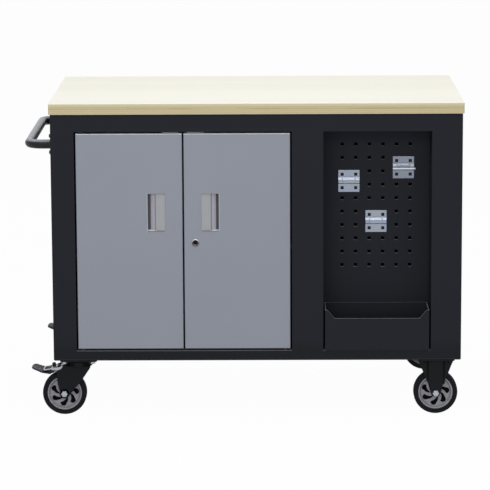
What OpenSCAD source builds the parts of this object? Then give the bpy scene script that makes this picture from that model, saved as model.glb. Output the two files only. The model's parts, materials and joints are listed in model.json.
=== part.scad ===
// Mobile tool cabinet: plywood worktop, two hinged doors, a pegboard niche with a bin, four casters.
// Millimetres. +Z is up and the doors face -Y. The origin is on the floor, under the middle of the whole.

/* [Worktop] */
// Width of the worktop
worktop_w = 1160; // [1120:5:1240]
// Depth of the worktop, front to back
worktop_d = 660; // [600:5:720]
// Thickness of the worktop
worktop_t = 30; // [20:1:45]
// Overhang of the worktop at each side
side_overhang = 3.5; // [0:0.5:10]
// Overhang of the worktop at the front and at the back
front_overhang = 5; // [4:0.5:15]
// Screws along the front and along the back of the worktop
worktop_screw_count = 3; // [2:1:5]

/* [Body] */
// Height of the steel body, without casters and worktop
body_h = 703; // [640:1:780]
// Thickness of the body's sheet steel
sheet_t = 1.5; // [1:0.1:2.5]
// Thickness of the bottom panel
floor_t = 2; // [1.5:0.1:4]
// Width of the left stile
left_stile_w = 66; // [50:1:90]
// Width of the centre stile, between the doors and the niche
centre_stile_w = 89; // [50:1:110]
// Width of the right stile
right_stile_w = 86; // [50:1:110]
// Height of the top rail
top_rail_h = 50.5; // [40:0.5:70]
// Height of the bottom rail
bottom_rail_h = 29; // [24:0.5:50]
// Depth of the folded returns of stiles and rails
return_d = 30; // [24:1:45]

/* [Niche] */
// Width of the niche's opening
niche_w = 303; // [280:1:340]
// Depth from the body's front to the pegboard
niche_d = 110; // [90:1:150]
// Pegboard holes across
peg_cols = 6; // [3:1:7]
// Pegboard holes down
peg_rows = 10; // [8:1:11]
// Distance between the holes
peg_pitch = 38.6; // [36:0.1:40]
// Side of a square hole
peg_hole = 10; // [8:0.5:12]
// Depth of the top row of holes below the niche's top edge
peg_drop = 51; // [30:0.5:70]

/* [Hooks] */
// Width of a hook's plate
hook_w = 60; // [54:0.5:64]
// Height of a hook's plate
hook_h = 63; // [58:0.5:68]
// Thickness of a hook's plate
hook_t = 2; // [1.5:0.1:3]
// Side of the holes in a hook's plate
hook_hole = 8.5; // [6:0.5:10]
// How far the bulge across a hook stands out from its plate
hook_bulge = 3.2; // [2:0.2:5]
// How far a hook's plate hangs below the holes that carry it
hook_sag = 8.5; // [7:0.1:9]
// Length of the bar that sticks out beside the upper right hook
hook_bar = 4; // [2:0.5:8]

/* [Bin] */
// Gap between the bin and the niche, each side
bin_gap = 4.5; // [2:0.5:8]
// Height of the bin's front
bin_h = 92; // [60:1:130]
// Height of the raised ears above the bin's front
bin_ear_h = 24; // [0:1:40]
// Flat top of an ear
bin_ear_flat = 7; // [3:0.5:12]
// Width over which an ear slopes down
bin_ear_run = 20; // [10:1:40]
// How far the bin stands out from the body's front
bin_proud = 3; // [0:0.5:3.5]
// Thickness of the bin's sheet
bin_t = 1.2; // [1:0.1:2]

/* [Doors] */
// Thickness of a door
door_t = 20; // [18:0.5:23]
// Gap between a door and its stile
door_gap_side = 4.3; // [3:0.1:6]
// Gap between the two doors
door_gap_mid = 4.4; // [2:0.1:6]
// Gap above the doors
door_gap_top = 4.5; // [3:0.1:6]
// Gap below the doors
door_gap_bottom = 5; // [3:0.1:7]
// How far the doors' faces lie behind the body's front
door_inset = 1.5; // [0:0.1:3]
// Thickness of a door's skin
skin_t = 1.2; // [0.8:0.1:2]
// Thickness of a door's liner
liner_t = 1.2; // [0.8:0.1:2]
// Distance of the pivot from the door's outer edge
pivot_edge = 13; // [12:0.5:16]
// Distance of the pivot behind the door's face
pivot_back = 8; // [7:0.5:10]
// Diameter of a pivot pin
pin_d = 6; // [5:0.5:8]
// Depth of a pivot pin inside the door
pin_reach = 12; // [8:1:20]

/* [Pulls] */
// Width of a recessed pull
pull_w = 49; // [44:0.5:60]
// Height of a recessed pull
pull_h = 107; // [80:1:140]
// Distance from the door's meeting edge to the pull
pull_edge = 49; // [40:1:70]
// Height of the pull's middle above the door's bottom
pull_z = 390.7; // [200:0.1:480]
// Width of the deep finger slot
slot_w = 9; // [8:0.5:14]
// Depth of the finger slot
slot_depth = 15; // [12:0.5:16]
// Width of the steep facet beside the slot
facet_w = 13; // [8:0.5:16]
// Depth at the crease between the two facets
crease_depth = 8; // [5:0.5:10]
// Width of the pull's rim on the door's face
rim_w = 1.6; // [1:0.1:3]
// Thickness of the pull's plate
pull_t = 1.2; // [1:0.1:1.6]

/* [Lock] */
// Distance of the lock's axis from the door's meeting edge
lock_edge = 31.5; // [26:0.5:40]
// Height of the lock above the door's bottom
lock_z = 304.6; // [180:0.1:320]
// Diameter of the lock's head
lock_head_d = 21; // [20:0.5:24]
// Thickness of the lock's head
lock_head_t = 2.5; // [1.5:0.1:3]
// Diameter of the lock's barrel
lock_barrel_d = 17; // [15:0.5:18]
// Diameter of the lock's plug
lock_plug_d = 12; // [10:0.5:13]
// Length of the cam beyond the lock's axis
cam_reach = 44; // [42:0.5:50]
// Width of the cam
cam_w = 14; // [10:0.5:18]
// Thickness of the cam
cam_t = 2; // [1.5:0.1:3]

/* [Shelf] */
// Height of the shelf above the cupboard's floor
shelf_rise = 310; // [150:1:450]
// Height of the shelf's folded lips
shelf_lip = 25; // [15:1:40]
// Gap between the shelf and the cupboard's sides
shelf_gap = 2; // [1:0.5:4]
// Distance from the doors' backs to the shelf
shelf_setback = 40; // [20:1:80]

/* [Handle] */
// Diameter of the handle's tube
handle_d = 26; // [20:0.5:30]
// Wall of the handle's tube
handle_wall = 2; // [1.2:0.1:3]
// How far the handle stands out from the side
handle_reach = 79; // [75:1:110]
// Distance of the handle's legs from the body's front and back
handle_inset = 67.5; // [45:0.5:120]
// Depth of the handle below the body's top
handle_drop = 92; // [60:1:150]
// Bend radius on the tube's centre line
handle_bend_r = 38; // [30:1:45]
// Thickness of the handle's flanges
flange_t = 4; // [3:0.5:6]
// Distance between the two screws of a flange
flange_pitch = 46.5; // [42:0.5:60]
// Height of the low screws on the side above the body's bottom
low_screw_rise = 90; // [60:1:140]

/* [Wheels] */
// Diameter of a wheel
wheel_d = 125; // [115:1:126]
// Width of a tyre
tyre_w = 32; // [26:0.5:36]
// Outer diameter of a rim
rim_d = 98; // [90:1:104]
// Thickness of a rim's web
web_t = 8; // [5:0.5:12]
// Thickness of the wall that closes a rim's slots in the middle
core_t = 2; // [1:0.5:4]
// Slots in a rim
slot_count = 7; // [5:1:8]
// Width of a wheel's hub
hub_w = 38; // [36:0.5:39]
// Diameter of an axle bolt
axle_d = 10; // [10:0.5:12]
// Width across the flats of the axle bolt's head
axle_head = 16; // [16:0.5:19]

/* [Casters] */
// Height of a caster, from the floor to the body
caster_h = 162; // [162:1:175]
// Width of a caster's plate, along the cabinet
plate_w = 105; // [100:1:115]
// Depth of a caster's plate, front to back
plate_d = 80; // [78:1:86]
// Thickness of a caster's plate
plate_t = 4; // [3:0.5:5]
// Distance of the casters' axes from the body's sides
caster_inset_x = 69.5; // [64:0.5:100]
// Distance of the casters' axes from the body's front and back
caster_inset_y = 41; // [41:0.5:70]
// Bolt distance across a plate
plate_bolt_x = 80; // [76:1:84]
// Bolt distance from front to back of a plate
plate_bolt_y = 60; // [60:1:62]
// Diameter of a caster bolt
caster_bolt_d = 8; // [6:0.5:8]
// Trail of a swivel caster
trail = 42; // [38:0.5:46]
// Thickness of a fork's legs
leg_t = 2.8; // [2:0.1:2.9]
// Clear width between a fork's legs
fork_gap = 40.6; // [40.2:0.1:40.8]
// Width of the rib on a rigid caster's leg
rib_w = 39; // [30:1:44]
// Height of that rib
rib_t = 4; // [2:0.5:5]
// Diameter of the swivel's cup
cup_d = 65; // [60:0.5:66]
// Diameter of the kingpin
kingpin_d = 12; // [10:0.5:14]
// Diameter of a bearing ball
ball_d = 5.7; // [5:0.1:6]
// Width of the brake lever between the fork's legs
lever_w = 28; // [22:0.5:32]
// Width of the brake lever and its pedal outside the fork
pedal_w = 50; // [44:0.5:56]
// Distance from the swivel axis to the tip of the brake pedal
pedal_reach = 136; // [128:1:140]

/* [Fits] */
// Radial clearance of a shaft that turns in a bore
run_clear = 0.05; // [0.02:0.01:0.1]
// Radial clearance round a bolt or screw
bolt_clear = 0.2; // [0.1:0.05:0.25]
// Gap between pieces that lie close but move apart
seat_gap = 0.3; // [0.2:0.05:0.5]

/* [Hidden] */
$fn = 48;

// Body: outer faces and openings
frame_w = worktop_w - 2 * side_overhang;
cab_x = (frame_w / 2 + handle_reach - worktop_w / 2) / 2;
left_x = cab_x - frame_w / 2;
right_x = cab_x + frame_w / 2;
front_y = -worktop_d / 2 + front_overhang;
back_y = worktop_d / 2 - front_overhang;
base_z = caster_h;
top_z = base_z + body_h;
floor_z = base_z + floor_t;
inner_y = front_y + sheet_t;
return_y = inner_y + return_d;
niche_x1 = right_x - right_stile_w;
niche_x0 = niche_x1 - niche_w;
open_x0 = left_x + left_stile_w;
open_x1 = niche_x0 - centre_stile_w;
open_z0 = base_z + bottom_rail_h;
open_z1 = top_z - top_rail_h;
peg_y = front_y + niche_d;
niche_mid = (niche_x0 + niche_x1) / 2;

// Doors
door_w = (open_x1 - open_x0 - 2 * door_gap_side - door_gap_mid) / 2;
door_z0 = open_z0 + door_gap_bottom;
door_z1 = open_z1 - door_gap_top;
door_y = front_y + door_inset;
door_back = door_y + door_t;
left_door_x = open_x0 + door_gap_side;
right_door_x = open_x1 - door_gap_side;
pivot_y = door_y + pivot_back;
lock_x = right_door_x - door_w + lock_edge;
lock_h = door_z0 + lock_z;
lock_nut_t = 4;
barrel_back = door_back + 0.5;
cam_tab = 3;
catch_size = [46, 18, 14];
catch_step = 12;

// Shelf
shelf_z = floor_z + shelf_rise;
shelf_y0 = door_back + shelf_setback;
shelf_y1 = back_y - sheet_t - shelf_gap;
clip_size = [12, 20, 12];
clip_inset = 60;

// Handle
handle_z = top_z - handle_drop;
handle_y0 = front_y + handle_inset;
handle_y1 = back_y - handle_inset;
bar_x = left_x - handle_reach + handle_d / 2;
flange_edge = 11;
flange_rim = 6;
flange_h = flange_pitch + 2 * flange_edge;
flange_w = handle_d + 2 * flange_rim;
screw_d = 6;
screw_head_d = 12;
screw_head_t = 4.5;

// Worktop screws
wood_screw_d = 5;
wood_screw_len = 20;
wood_head_d = 10;
wood_head_t = 2.5;
wood_screw_inset = 120;

// Casters: u runs from the swivel axis towards the trailing wheel
swivel_x = left_x + caster_inset_x;
rigid_x = right_x - caster_inset_x;
caster_y0 = front_y + caster_inset_y;
caster_y1 = back_y - caster_inset_y;
axle_z = wheel_d / 2;
plate_z = base_z - plate_t;
crown_z = base_z - 22;
crown_t = 4;
cup_wall = 3;
cup_top = base_z - 6.5;
race_r = 24;
pin_head_d = 22;
leg_y = fork_gap / 2;
boss_r = 14;
axle_head_t = 8;
nut_size = 13;
nut_t = 6;
bolt_head_t = 3;
lever_u = 57;
lever_z = crown_z - 3;
lever_pin_d = 6;
lever_eye_r = 5.5;
lever_t = 2.5;
lever_rise = 13;
lever_wide_u = lever_u + 10;
lever_strip = 4;
knob_u = lever_u + 15;
knob_d = 11;
knob_h = 13;
pedal_len = 24;
pedal_round = 12;
hook_brow = 13.5;
hook_foot = 7;
hook_split = 18;
hook_split_w = 1.4;
hook_rod_d = 5.2;
hook_rod_y = 2;
hook_rod_z = 3.4;
deg = 180 / PI;

// A fork's leg, each point [back from the axle, above the axle]
leg_heel = [-50, 39];
leg_arch = [-36, 23];
leg_shin = [19, 30];
leg_knee = [21, 50];
leg_boss_rise = 7;
leg_boss_in = 2;

// A rigid bracket's leg: half widths, and heights below the plate or above the axle
wing_w = 50;
wing_waist = [33, 44];
wing_ankle = [21, 26];
rib_knee = 22;

// ---------------------------------------------------------------- helpers

// A box between two opposite corners
module slab(low, high) {
    translate(low) cube(high - low);
}

// A cylinder along +Y from the given point
module rod_y(at, d, len) {
    translate(at) rotate([-90, 0, 0]) cylinder(d = d, h = len);
}

// A hexagonal prism along +Y from the given point
module hex_y(at, flats, len) {
    translate(at) rotate([-90, 0, 0]) cylinder(d = flats / cos(30), h = len, $fn = 6);
}

// A rectangle with round corners, about the origin
module round_rect(w, h, r) {
    square([w - 2 * r, h], center = true);
    square([w, h - 2 * r], center = true);
    for (sx = [-1, 1], sy = [-1, 1]) {
        translate([sx * (w / 2 - r), sy * (h / 2 - r)]) circle(r = r);
    }
}

// An outline drawn in the X-Z plane, thickened along +Y
module wall_xz(y, t) {
    translate([0, y + t, 0]) rotate([90, 0, 0]) linear_extrude(t) children();
}

// ---------------------------------------------------------------- worktop

function screw_xs() = [for (i = [0 : worktop_screw_count - 1])
    left_x + wood_screw_inset + i * (frame_w - 2 * wood_screw_inset) / (worktop_screw_count - 1)];
screw_ys = [inner_y + return_d / 2, back_y - sheet_t - return_d / 2];

module worktop() {
    color("burlywood") difference() {
        slab([cab_x - worktop_w / 2, -worktop_d / 2, top_z],
             [cab_x + worktop_w / 2, worktop_d / 2, top_z + worktop_t]);
        for (x = screw_xs(), y = screw_ys) {
            translate([x, y, top_z - 1]) cylinder(d = wood_screw_d, h = wood_screw_len + 1);
        }
    }
}

module worktop_screws() {
    color("silver") for (x = screw_xs(), y = screw_ys) {
        translate([x, y, top_z - sheet_t - wood_head_t]) {
            cylinder(d = wood_head_d, h = wood_head_t);
            cylinder(d = wood_screw_d, h = wood_head_t + sheet_t + wood_screw_len);
        }
    }
}

// ---------------------------------------------------------------- body

module screw_holes() {
    for (x = screw_xs(), y = screw_ys) {
        translate([x, y, top_z - 2 * sheet_t]) cylinder(d = wood_screw_d + 2 * bolt_clear, h = 4 * sheet_t);
    }
}

module side_panel(x) {
    slab([x, inner_y, floor_z], [x + sheet_t, back_y - sheet_t, top_z]);
}

module left_side_panel() {
    color("dimgray") difference() {
        side_panel(left_x);
        for (p = side_screw_places()) {
            translate([left_x - 1, p[0], p[1]]) rotate([0, 90, 0])
                cylinder(d = screw_d + 2 * bolt_clear, h = sheet_t + 2);
        }
    }
}

module right_side_panel() {
    color("dimgray") side_panel(right_x - sheet_t);
}

// A stile's front face, over the full height of the body
module stile_face(x0, x1) {
    slab([x0, front_y, base_z], [x1, inner_y, top_z]);
}

// A folded return beside the doors
module stile_return(x) {
    slab([x, inner_y, floor_z], [x + sheet_t, return_y, top_z]);
}

module left_stile() {
    color("dimgray") {
        stile_face(left_x, open_x0);
        stile_return(open_x0 - sheet_t);
    }
}

module centre_stile() {
    color("dimgray") {
        slab([open_x1, front_y, open_z0], [niche_x0, inner_y, open_z1]);
        slab([open_x1, inner_y, open_z0], [open_x1 + sheet_t, return_y, open_z1]);
    }
}

module right_stile() {
    color("dimgray") stile_face(niche_x1, right_x);
}

module top_rail() {
    color("dimgray") difference() {
        union() {
            slab([open_x0, front_y, open_z1], [niche_x1, inner_y, top_z]);
            slab([open_x0, inner_y, open_z1], [niche_x1, return_y, open_z1 + sheet_t]);
            slab([open_x0, inner_y, top_z - sheet_t], [niche_x1, return_y, top_z]);
        }
        screw_holes();
        pin_holes();
    }
}

module bottom_rail() {
    color("dimgray") difference() {
        union() {
            slab([open_x0, front_y, base_z], [niche_x1, inner_y, open_z0]);
            slab([open_x0, inner_y, open_z0 - sheet_t], [niche_x1, return_y, open_z0]);
        }
        pin_holes();
    }
}

module back_panel() {
    color("dimgray") difference() {
        union() {
            slab([left_x, back_y - sheet_t, base_z], [right_x, back_y, top_z]);
            slab([left_x + sheet_t, back_y - sheet_t - return_d, top_z - sheet_t],
                 [right_x - sheet_t, back_y - sheet_t, top_z]);
        }
        screw_holes();
    }
}

module bottom_panel() {
    color("dimgray") difference() {
        slab([left_x, inner_y, base_z], [right_x, back_y - sheet_t, floor_z]);
        caster_bolt_holes();
    }
}

module centre_partition() {
    color("dimgray")
        slab([open_x1, return_y, floor_z], [open_x1 + sheet_t, back_y - sheet_t, top_z - sheet_t]);
}

// ---------------------------------------------------------------- cupboard

module shelf() {
    x0 = left_x + sheet_t + shelf_gap;
    x1 = open_x1 - shelf_gap;
    color("dimgray") {
        slab([x0, shelf_y0, shelf_z - sheet_t], [x1, shelf_y1, shelf_z]);
        slab([x0, shelf_y0, shelf_z - shelf_lip], [x1, shelf_y0 + sheet_t, shelf_z - sheet_t]);
        slab([x0, shelf_y1 - sheet_t, shelf_z - shelf_lip], [x1, shelf_y1, shelf_z - sheet_t]);
    }
}

module shelf_clips() {
    color("silver") for (x = [left_x + sheet_t, open_x1 - clip_size[0]],
                         y = [shelf_y0 + clip_inset, shelf_y1 - clip_inset - clip_size[1]]) {
        translate([x, y, shelf_z - sheet_t - clip_size[2]]) cube(clip_size);
    }
}

module door_catches() {
    mid = (left_door_x + right_door_x) / 2;
    color("white") for (side = [-1, 1]) {
        translate([mid + side * (catch_size[0] / 2 + catch_step) - catch_size[0] / 2, door_back + seat_gap,
                   open_z1 - catch_size[2]]) {
            cube([catch_size[0], catch_size[1], catch_size[2]]);
        }
    }
}

// ---------------------------------------------------------------- niche

peg_x0 = niche_mid - (peg_cols - 1) * peg_pitch / 2;
peg_z1 = open_z1 - peg_drop;

module pegboard() {
    color("dimgray") difference() {
        slab([niche_x0 - sheet_t, peg_y, floor_z], [niche_x1 + sheet_t, peg_y + sheet_t, open_z1 + sheet_t]);
        for (col = [0 : peg_cols - 1], row = [0 : peg_rows - 1]) {
            x = peg_x0 + col * peg_pitch;
            translate([x - peg_hole / 2, peg_y - 1, peg_z1 - row * peg_pitch - peg_hole / 2])
                cube([peg_hole, sheet_t + 2, peg_hole]);
        }
    }
}

module niche_left_wall() {
    color("dimgray") slab([niche_x0 - sheet_t, inner_y, open_z0], [niche_x0, peg_y, open_z1]);
}

module niche_right_wall() {
    color("dimgray") slab([niche_x1, inner_y, floor_z], [niche_x1 + sheet_t, peg_y, top_z]);
}

module niche_ceiling() {
    color("dimgray") slab([niche_x0 - sheet_t, return_y, open_z1], [niche_x1, peg_y, open_z1 + sheet_t]);
}

module tool_bin() {
    x0 = niche_x0 + bin_gap;
    x1 = niche_x1 - bin_gap;
    y0 = front_y - bin_proud;
    z1 = open_z0 + bin_h;
    ear_z = z1 + bin_ear_h;
    color("dimgray") {
        slab([x0, y0, open_z0], [x1, peg_y, open_z0 + bin_t]);
        slab([x0, peg_y - bin_t, open_z0], [x1, peg_y, ear_z]);
        for (x = [x0, x1 - bin_t]) {
            slab([x, y0, open_z0], [x + bin_t, peg_y, ear_z]);
        }
        wall_xz(y0, bin_t) polygon([
            [x0, open_z0], [x1, open_z0], [x1, ear_z], [x1 - bin_ear_flat, ear_z],
            [x1 - bin_ear_flat - bin_ear_run, z1], [x0 + bin_ear_flat + bin_ear_run, z1],
            [x0 + bin_ear_flat, ear_z], [x0, ear_z]
        ]);
    }
}

// Section of a hook's bulge, [out of the plate, above the hook's middle]: a soft rise from the top, then a
// flat face, and a rounded foot
function bulge_rise(t) = hook_bulge * t * t * (3 - 2 * t);
module bulge_section() {
    steps = [for (i = [0 : 8]) i / 8];
    polygon(concat([[1, hook_brow]], [for (t = steps) [-bulge_rise(t), hook_brow * (1 - t)]],
                   [[-hook_bulge, -hook_foot + 1.5], [-hook_bulge + 1.5, -hook_foot], [1, -hook_foot]]));
}

// A hook plate that hangs in the holes of columns col and col + 1, its lugs in row and row + 1
module tool_hook(col, row, bar) {
    cx = peg_x0 + (col + 0.5) * peg_pitch;
    cz = peg_z1 - (row + 0.5) * peg_pitch - hook_sag;
    y1 = peg_y;
    y0 = y1 - hook_t;
    lug = hook_hole - 2;
    color("lightsteelblue") difference() {
        union() {
            slab([cx - hook_w / 2, y0, cz - hook_h / 2], [cx + hook_w / 2, y1, cz + hook_h / 2]);
            translate([cx - hook_w / 2, y0, cz]) rotate([90, 0, 90]) linear_extrude(hook_w) bulge_section();
            if (bar > 0) {
                translate([cx - hook_w / 2, y0 - hook_rod_y, cz - hook_rod_z]) rotate([0, 90, 0])
                    cylinder(d = hook_rod_d, h = hook_w + bar);
            }
            for (sx = [-1, 1]) {
                lug_z = cz + hook_sag + (peg_pitch - lug) / 2 - 1;
                translate([cx + (sx * peg_pitch - lug) / 2, y1 - 1, lug_z])
                    cube([lug, sheet_t + 3, lug]);
            }
        }
        for (sx = [-1, 1]) {
            groove_x = cx + sx * hook_split - hook_split_w / 2;
            translate([groove_x, y0 - hook_rod_y - hook_rod_d, cz - hook_foot - 1])
                cube([hook_split_w, hook_rod_y + hook_rod_d, hook_foot + hook_brow + 2]);
        }
        for (sx = [-1, 1], sz = [-1, 1]) {
            translate([cx + (sx * peg_pitch - hook_hole) / 2, y0 - 1, cz + (sz * peg_pitch - hook_hole) / 2])
                cube([hook_hole, hook_t + 2, hook_hole]);
        }
    }
}

module upper_left_hook() { tool_hook(0, 2, 0); }
module upper_right_hook() { tool_hook(4, 1, hook_bar); }
module lower_hook() { tool_hook(2, 5, 0); }

// ---------------------------------------------------------------- handle

handle_ys = [handle_y0, handle_y1];

function side_screw_places() = concat(
    [for (y = handle_ys, s = [-1, 1]) [y, handle_z + s * flange_pitch / 2]],
    [for (y = handle_ys) [y, base_z + low_screw_rise]]);

// A tube's ring profile
module tube_ring() {
    difference() {
        circle(d = handle_d);
        circle(d = handle_d - 2 * handle_wall);
    }
}

// One leg, its bend and its flange. side is 1 at the front leg and -1 at the back leg
module handle_end(y, side) {
    bend_x = bar_x + handle_bend_r;
    face_x = left_x - flange_t;
    translate([bend_x, y, handle_z]) rotate([0, 90, 0]) linear_extrude(face_x - bend_x) tube_ring();
    translate([bend_x, y + side * handle_bend_r, handle_z]) rotate([0, 0, side > 0 ? 180 : 90])
        rotate_extrude(angle = 90) translate([handle_bend_r, 0]) tube_ring();
    difference() {
        translate([face_x, y, handle_z]) rotate([90, 0, 90]) linear_extrude(flange_t)
            round_rect(flange_w, flange_h, 8);
        for (s = [-1, 1]) {
            translate([face_x - 1, y, handle_z + s * flange_pitch / 2]) rotate([0, 90, 0])
                cylinder(d = screw_d + 2 * bolt_clear, h = flange_t + 2);
        }
    }
}

module push_handle() {
    y0 = handle_y0 + handle_bend_r;
    y1 = handle_y1 - handle_bend_r;
    color("dimgray") {
        handle_end(handle_y0, 1);
        handle_end(handle_y1, -1);
        translate([bar_x, y0, handle_z]) rotate([-90, 0, 0]) linear_extrude(y1 - y0) tube_ring();
    }
}

// A button-head screw with its nut inside the side panel. seat is the face under the head
module side_screw(y, z, seat) {
    translate([seat - screw_head_t, y, z]) rotate([0, 90, 0])
        cylinder(d1 = screw_d, d2 = screw_head_d, h = screw_head_t);
    translate([seat, y, z]) rotate([0, 90, 0]) cylinder(d = screw_d, h = left_x + sheet_t - seat + 5);
    translate([left_x + sheet_t, y, z]) rotate([0, 90, 0]) cylinder(d = 2 * screw_d, h = 4, $fn = 6);
}

module side_screws() {
    color("silver") {
        for (y = handle_ys, s = [-1, 1]) {
            side_screw(y, handle_z + s * flange_pitch / 2, left_x - flange_t);
        }
        for (y = handle_ys) {
            side_screw(y, base_z + low_screw_rise, left_x);
        }
    }
}

// ---------------------------------------------------------------- doors
// side is 1 for the left door, hinged on the left, and -1 for the right door.
// t runs from the door's outer edge towards its meeting edge.

function door_edge(side) = side > 0 ? left_door_x : right_door_x;
function door_x(side, t) = door_edge(side) + side * t;

// A box in a door, from t0 to t1 across it
module door_slab(side, t0, t1, y0, y1, z0, z1) {
    xs = [door_x(side, t0), door_x(side, t1)];
    slab([min(xs), y0, z0], [max(xs), y1, z1]);
}

pull_t0 = door_w - pull_edge - pull_w;
pull_z0 = door_z0 + pull_z - pull_h / 2;
pull_z1 = pull_z0 + pull_h;

module door_skin(side) {
    difference() {
        union() {
            door_slab(side, 0, door_w, door_y, door_y + skin_t, door_z0, door_z1);
            door_slab(side, 0, skin_t, door_y + skin_t, door_back, door_z0, door_z1);
            door_slab(side, door_w - skin_t, door_w, door_y + skin_t, door_back, door_z0, door_z1);
            door_slab(side, skin_t, door_w - skin_t, door_y + skin_t, door_back, door_z0, door_z0 + skin_t);
            door_slab(side, skin_t, door_w - skin_t, door_y + skin_t, door_back, door_z1 - skin_t, door_z1);
        }
        door_slab(side, pull_t0, pull_t0 + pull_w, door_y - 1, door_y + skin_t + 1, pull_z0, pull_z1);
        for (z = [door_z0 - 1, door_z1 - skin_t - 1]) {
            translate([door_x(side, pivot_edge), pivot_y, z])
                cylinder(d = pin_d + 2 * run_clear, h = skin_t + 2);
        }
        if (side < 0) {
            rod_y([lock_x, door_y - 1, lock_h], lock_barrel_d + 2 * bolt_clear, skin_t + 2);
        }
    }
}

module door_liner(side) {
    difference() {
        door_slab(side, skin_t, door_w - skin_t, door_back - liner_t, door_back,
                  door_z0 + skin_t, door_z1 - skin_t);
        if (side < 0) {
            rod_y([lock_x, door_back - liner_t - 1, lock_h], lock_barrel_d + 2 * bolt_clear, liner_t + 2);
        }
    }
}

// Floor of a pull: [distance from the slot's outer wall, depth behind the door's face]
function pull_floor() = [
    [0, slot_depth], [slot_w, slot_depth], [slot_w + facet_w, crease_depth], [pull_w, pull_t]
];

module pull(side) {
    floor_line = pull_floor();
    outline = concat([[0, 0]], floor_line, [[pull_w, 0]]);
    inner = concat([[pull_t, -1], [pull_t, slot_depth - pull_t]],
                   [for (i = [1 : 2]) [floor_line[i][0], floor_line[i][1] - pull_t]],
                   [[pull_w - pull_t, 0.2], [pull_w - pull_t, -1]]);
    rim_y = door_y - 0.6;
    difference() {
        union() {
            translate([door_x(side, pull_t0), door_y, pull_z0]) mirror([side > 0 ? 0 : 1, 0, 0])
                linear_extrude(pull_h) polygon(outline);
            door_slab(side, pull_t0 - rim_w, pull_t0 + pull_w + rim_w, rim_y, door_y,
                      pull_z0 - rim_w, pull_z1 + rim_w);
        }
        translate([door_x(side, pull_t0), door_y, pull_z0 + pull_t]) mirror([side > 0 ? 0 : 1, 0, 0])
            linear_extrude(pull_h - 2 * pull_t) polygon(inner);
    }
}

module left_door_skin() { color("slategray") door_skin(1); }
module left_door_liner() { color("slategray") door_liner(1); }
module left_pull() { color("silver") pull(1); }
module right_door_skin() { color("slategray") door_skin(-1); }
module right_door_liner() { color("slategray") door_liner(-1); }
module right_pull() { color("silver") pull(-1); }

// Holes for the pivot pins in the rails
module pin_holes() {
    for (side = [-1, 1], z = [open_z0 - 2 * sheet_t, open_z1 - sheet_t]) {
        translate([door_x(side, pivot_edge), pivot_y, z]) cylinder(d = pin_d, h = 3 * sheet_t);
    }
}

// Four pins fixed in the rails. Each has a collar in the gap and a head behind the rail
module hinge_pins() {
    collar = pin_d + 5;
    color("silver") for (side = [-1, 1]) {
        translate([door_x(side, pivot_edge), pivot_y, 0]) {
            translate([0, 0, open_z0 - sheet_t - 2]) {
                cylinder(d = collar, h = 2);
                cylinder(d = pin_d, h = 2 + sheet_t + door_gap_bottom + pin_reach);
            }
            translate([0, 0, open_z0]) cylinder(d = collar, h = door_gap_bottom - seat_gap);
            translate([0, 0, door_z1 - pin_reach])
                cylinder(d = pin_d, h = pin_reach + door_gap_top + sheet_t + 2);
            translate([0, 0, door_z1 + seat_gap]) cylinder(d = collar, h = door_gap_top - seat_gap);
            translate([0, 0, open_z1 + sheet_t]) cylinder(d = collar, h = 2);
        }
    }
}

// ---------------------------------------------------------------- lock

module lock_barrel() {
    color("silver") difference() {
        union() {
            rod_y([lock_x, door_y - lock_head_t, lock_h], lock_head_d, lock_head_t);
            rod_y([lock_x, door_y, lock_h], lock_barrel_d, barrel_back - door_y);
        }
        bore = lock_plug_d + 2 * run_clear;
        rod_y([lock_x, door_y - lock_head_t - 1, lock_h], bore, door_t + lock_head_t + 3);
    }
}

// The ring nut that clamps the barrel against the skin from inside
module lock_nut() {
    color("silver") difference() {
        hex_y([lock_x, door_y + skin_t, lock_h], lock_barrel_d + 6, lock_nut_t);
        rod_y([lock_x, door_y, lock_h], lock_barrel_d + 2 * run_clear, skin_t + lock_nut_t + 1);
    }
}

module lock_plug() {
    key_w = 2;
    key_h = 8;
    color("silver") difference() {
        union() {
            rod_y([lock_x, door_y - lock_head_t + 0.4, lock_h], lock_plug_d,
                  barrel_back + seat_gap - door_y + lock_head_t - 0.4);
            slab([lock_x - cam_tab, barrel_back, lock_h - cam_tab],
                 [lock_x + cam_tab, barrel_back + seat_gap + cam_t + 1, lock_h + cam_tab]);
        }
        slab([lock_x - key_w / 2, door_y - lock_head_t - 1, lock_h - key_h / 2],
             [lock_x + key_w / 2, door_y + 8, lock_h + key_h / 2]);
    }
}

// At rest the cam points down, clear of the left door
module lock_cam() {
    y0 = barrel_back + seat_gap;
    color("silver") difference() {
        union() {
            rod_y([lock_x, y0, lock_h], cam_w + 4, cam_t);
            slab([lock_x - cam_w / 2, y0, lock_h - cam_reach], [lock_x + cam_w / 2, y0 + cam_t, lock_h]);
        }
        slab([lock_x - cam_tab, y0 - 1, lock_h - cam_tab],
             [lock_x + cam_tab, y0 + cam_t + 1, lock_h + cam_tab]);
    }
}

// ---------------------------------------------------------------- casters

function plate_bolts() = [for (sx = [-1, 1], sy = [-1, 1]) [sx * plate_bolt_x / 2, sy * plate_bolt_y / 2]];
function caster_places() = [for (x = [swivel_x, rigid_x], y = [caster_y0, caster_y1]) [x, y]];

module caster_bolt_holes() {
    for (c = caster_places(), b = plate_bolts()) {
        translate([c[0] + b[0], c[1] + b[1], base_z - 1])
            cylinder(d = caster_bolt_d + 2 * bolt_clear, h = floor_t + 2);
    }
}

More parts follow.
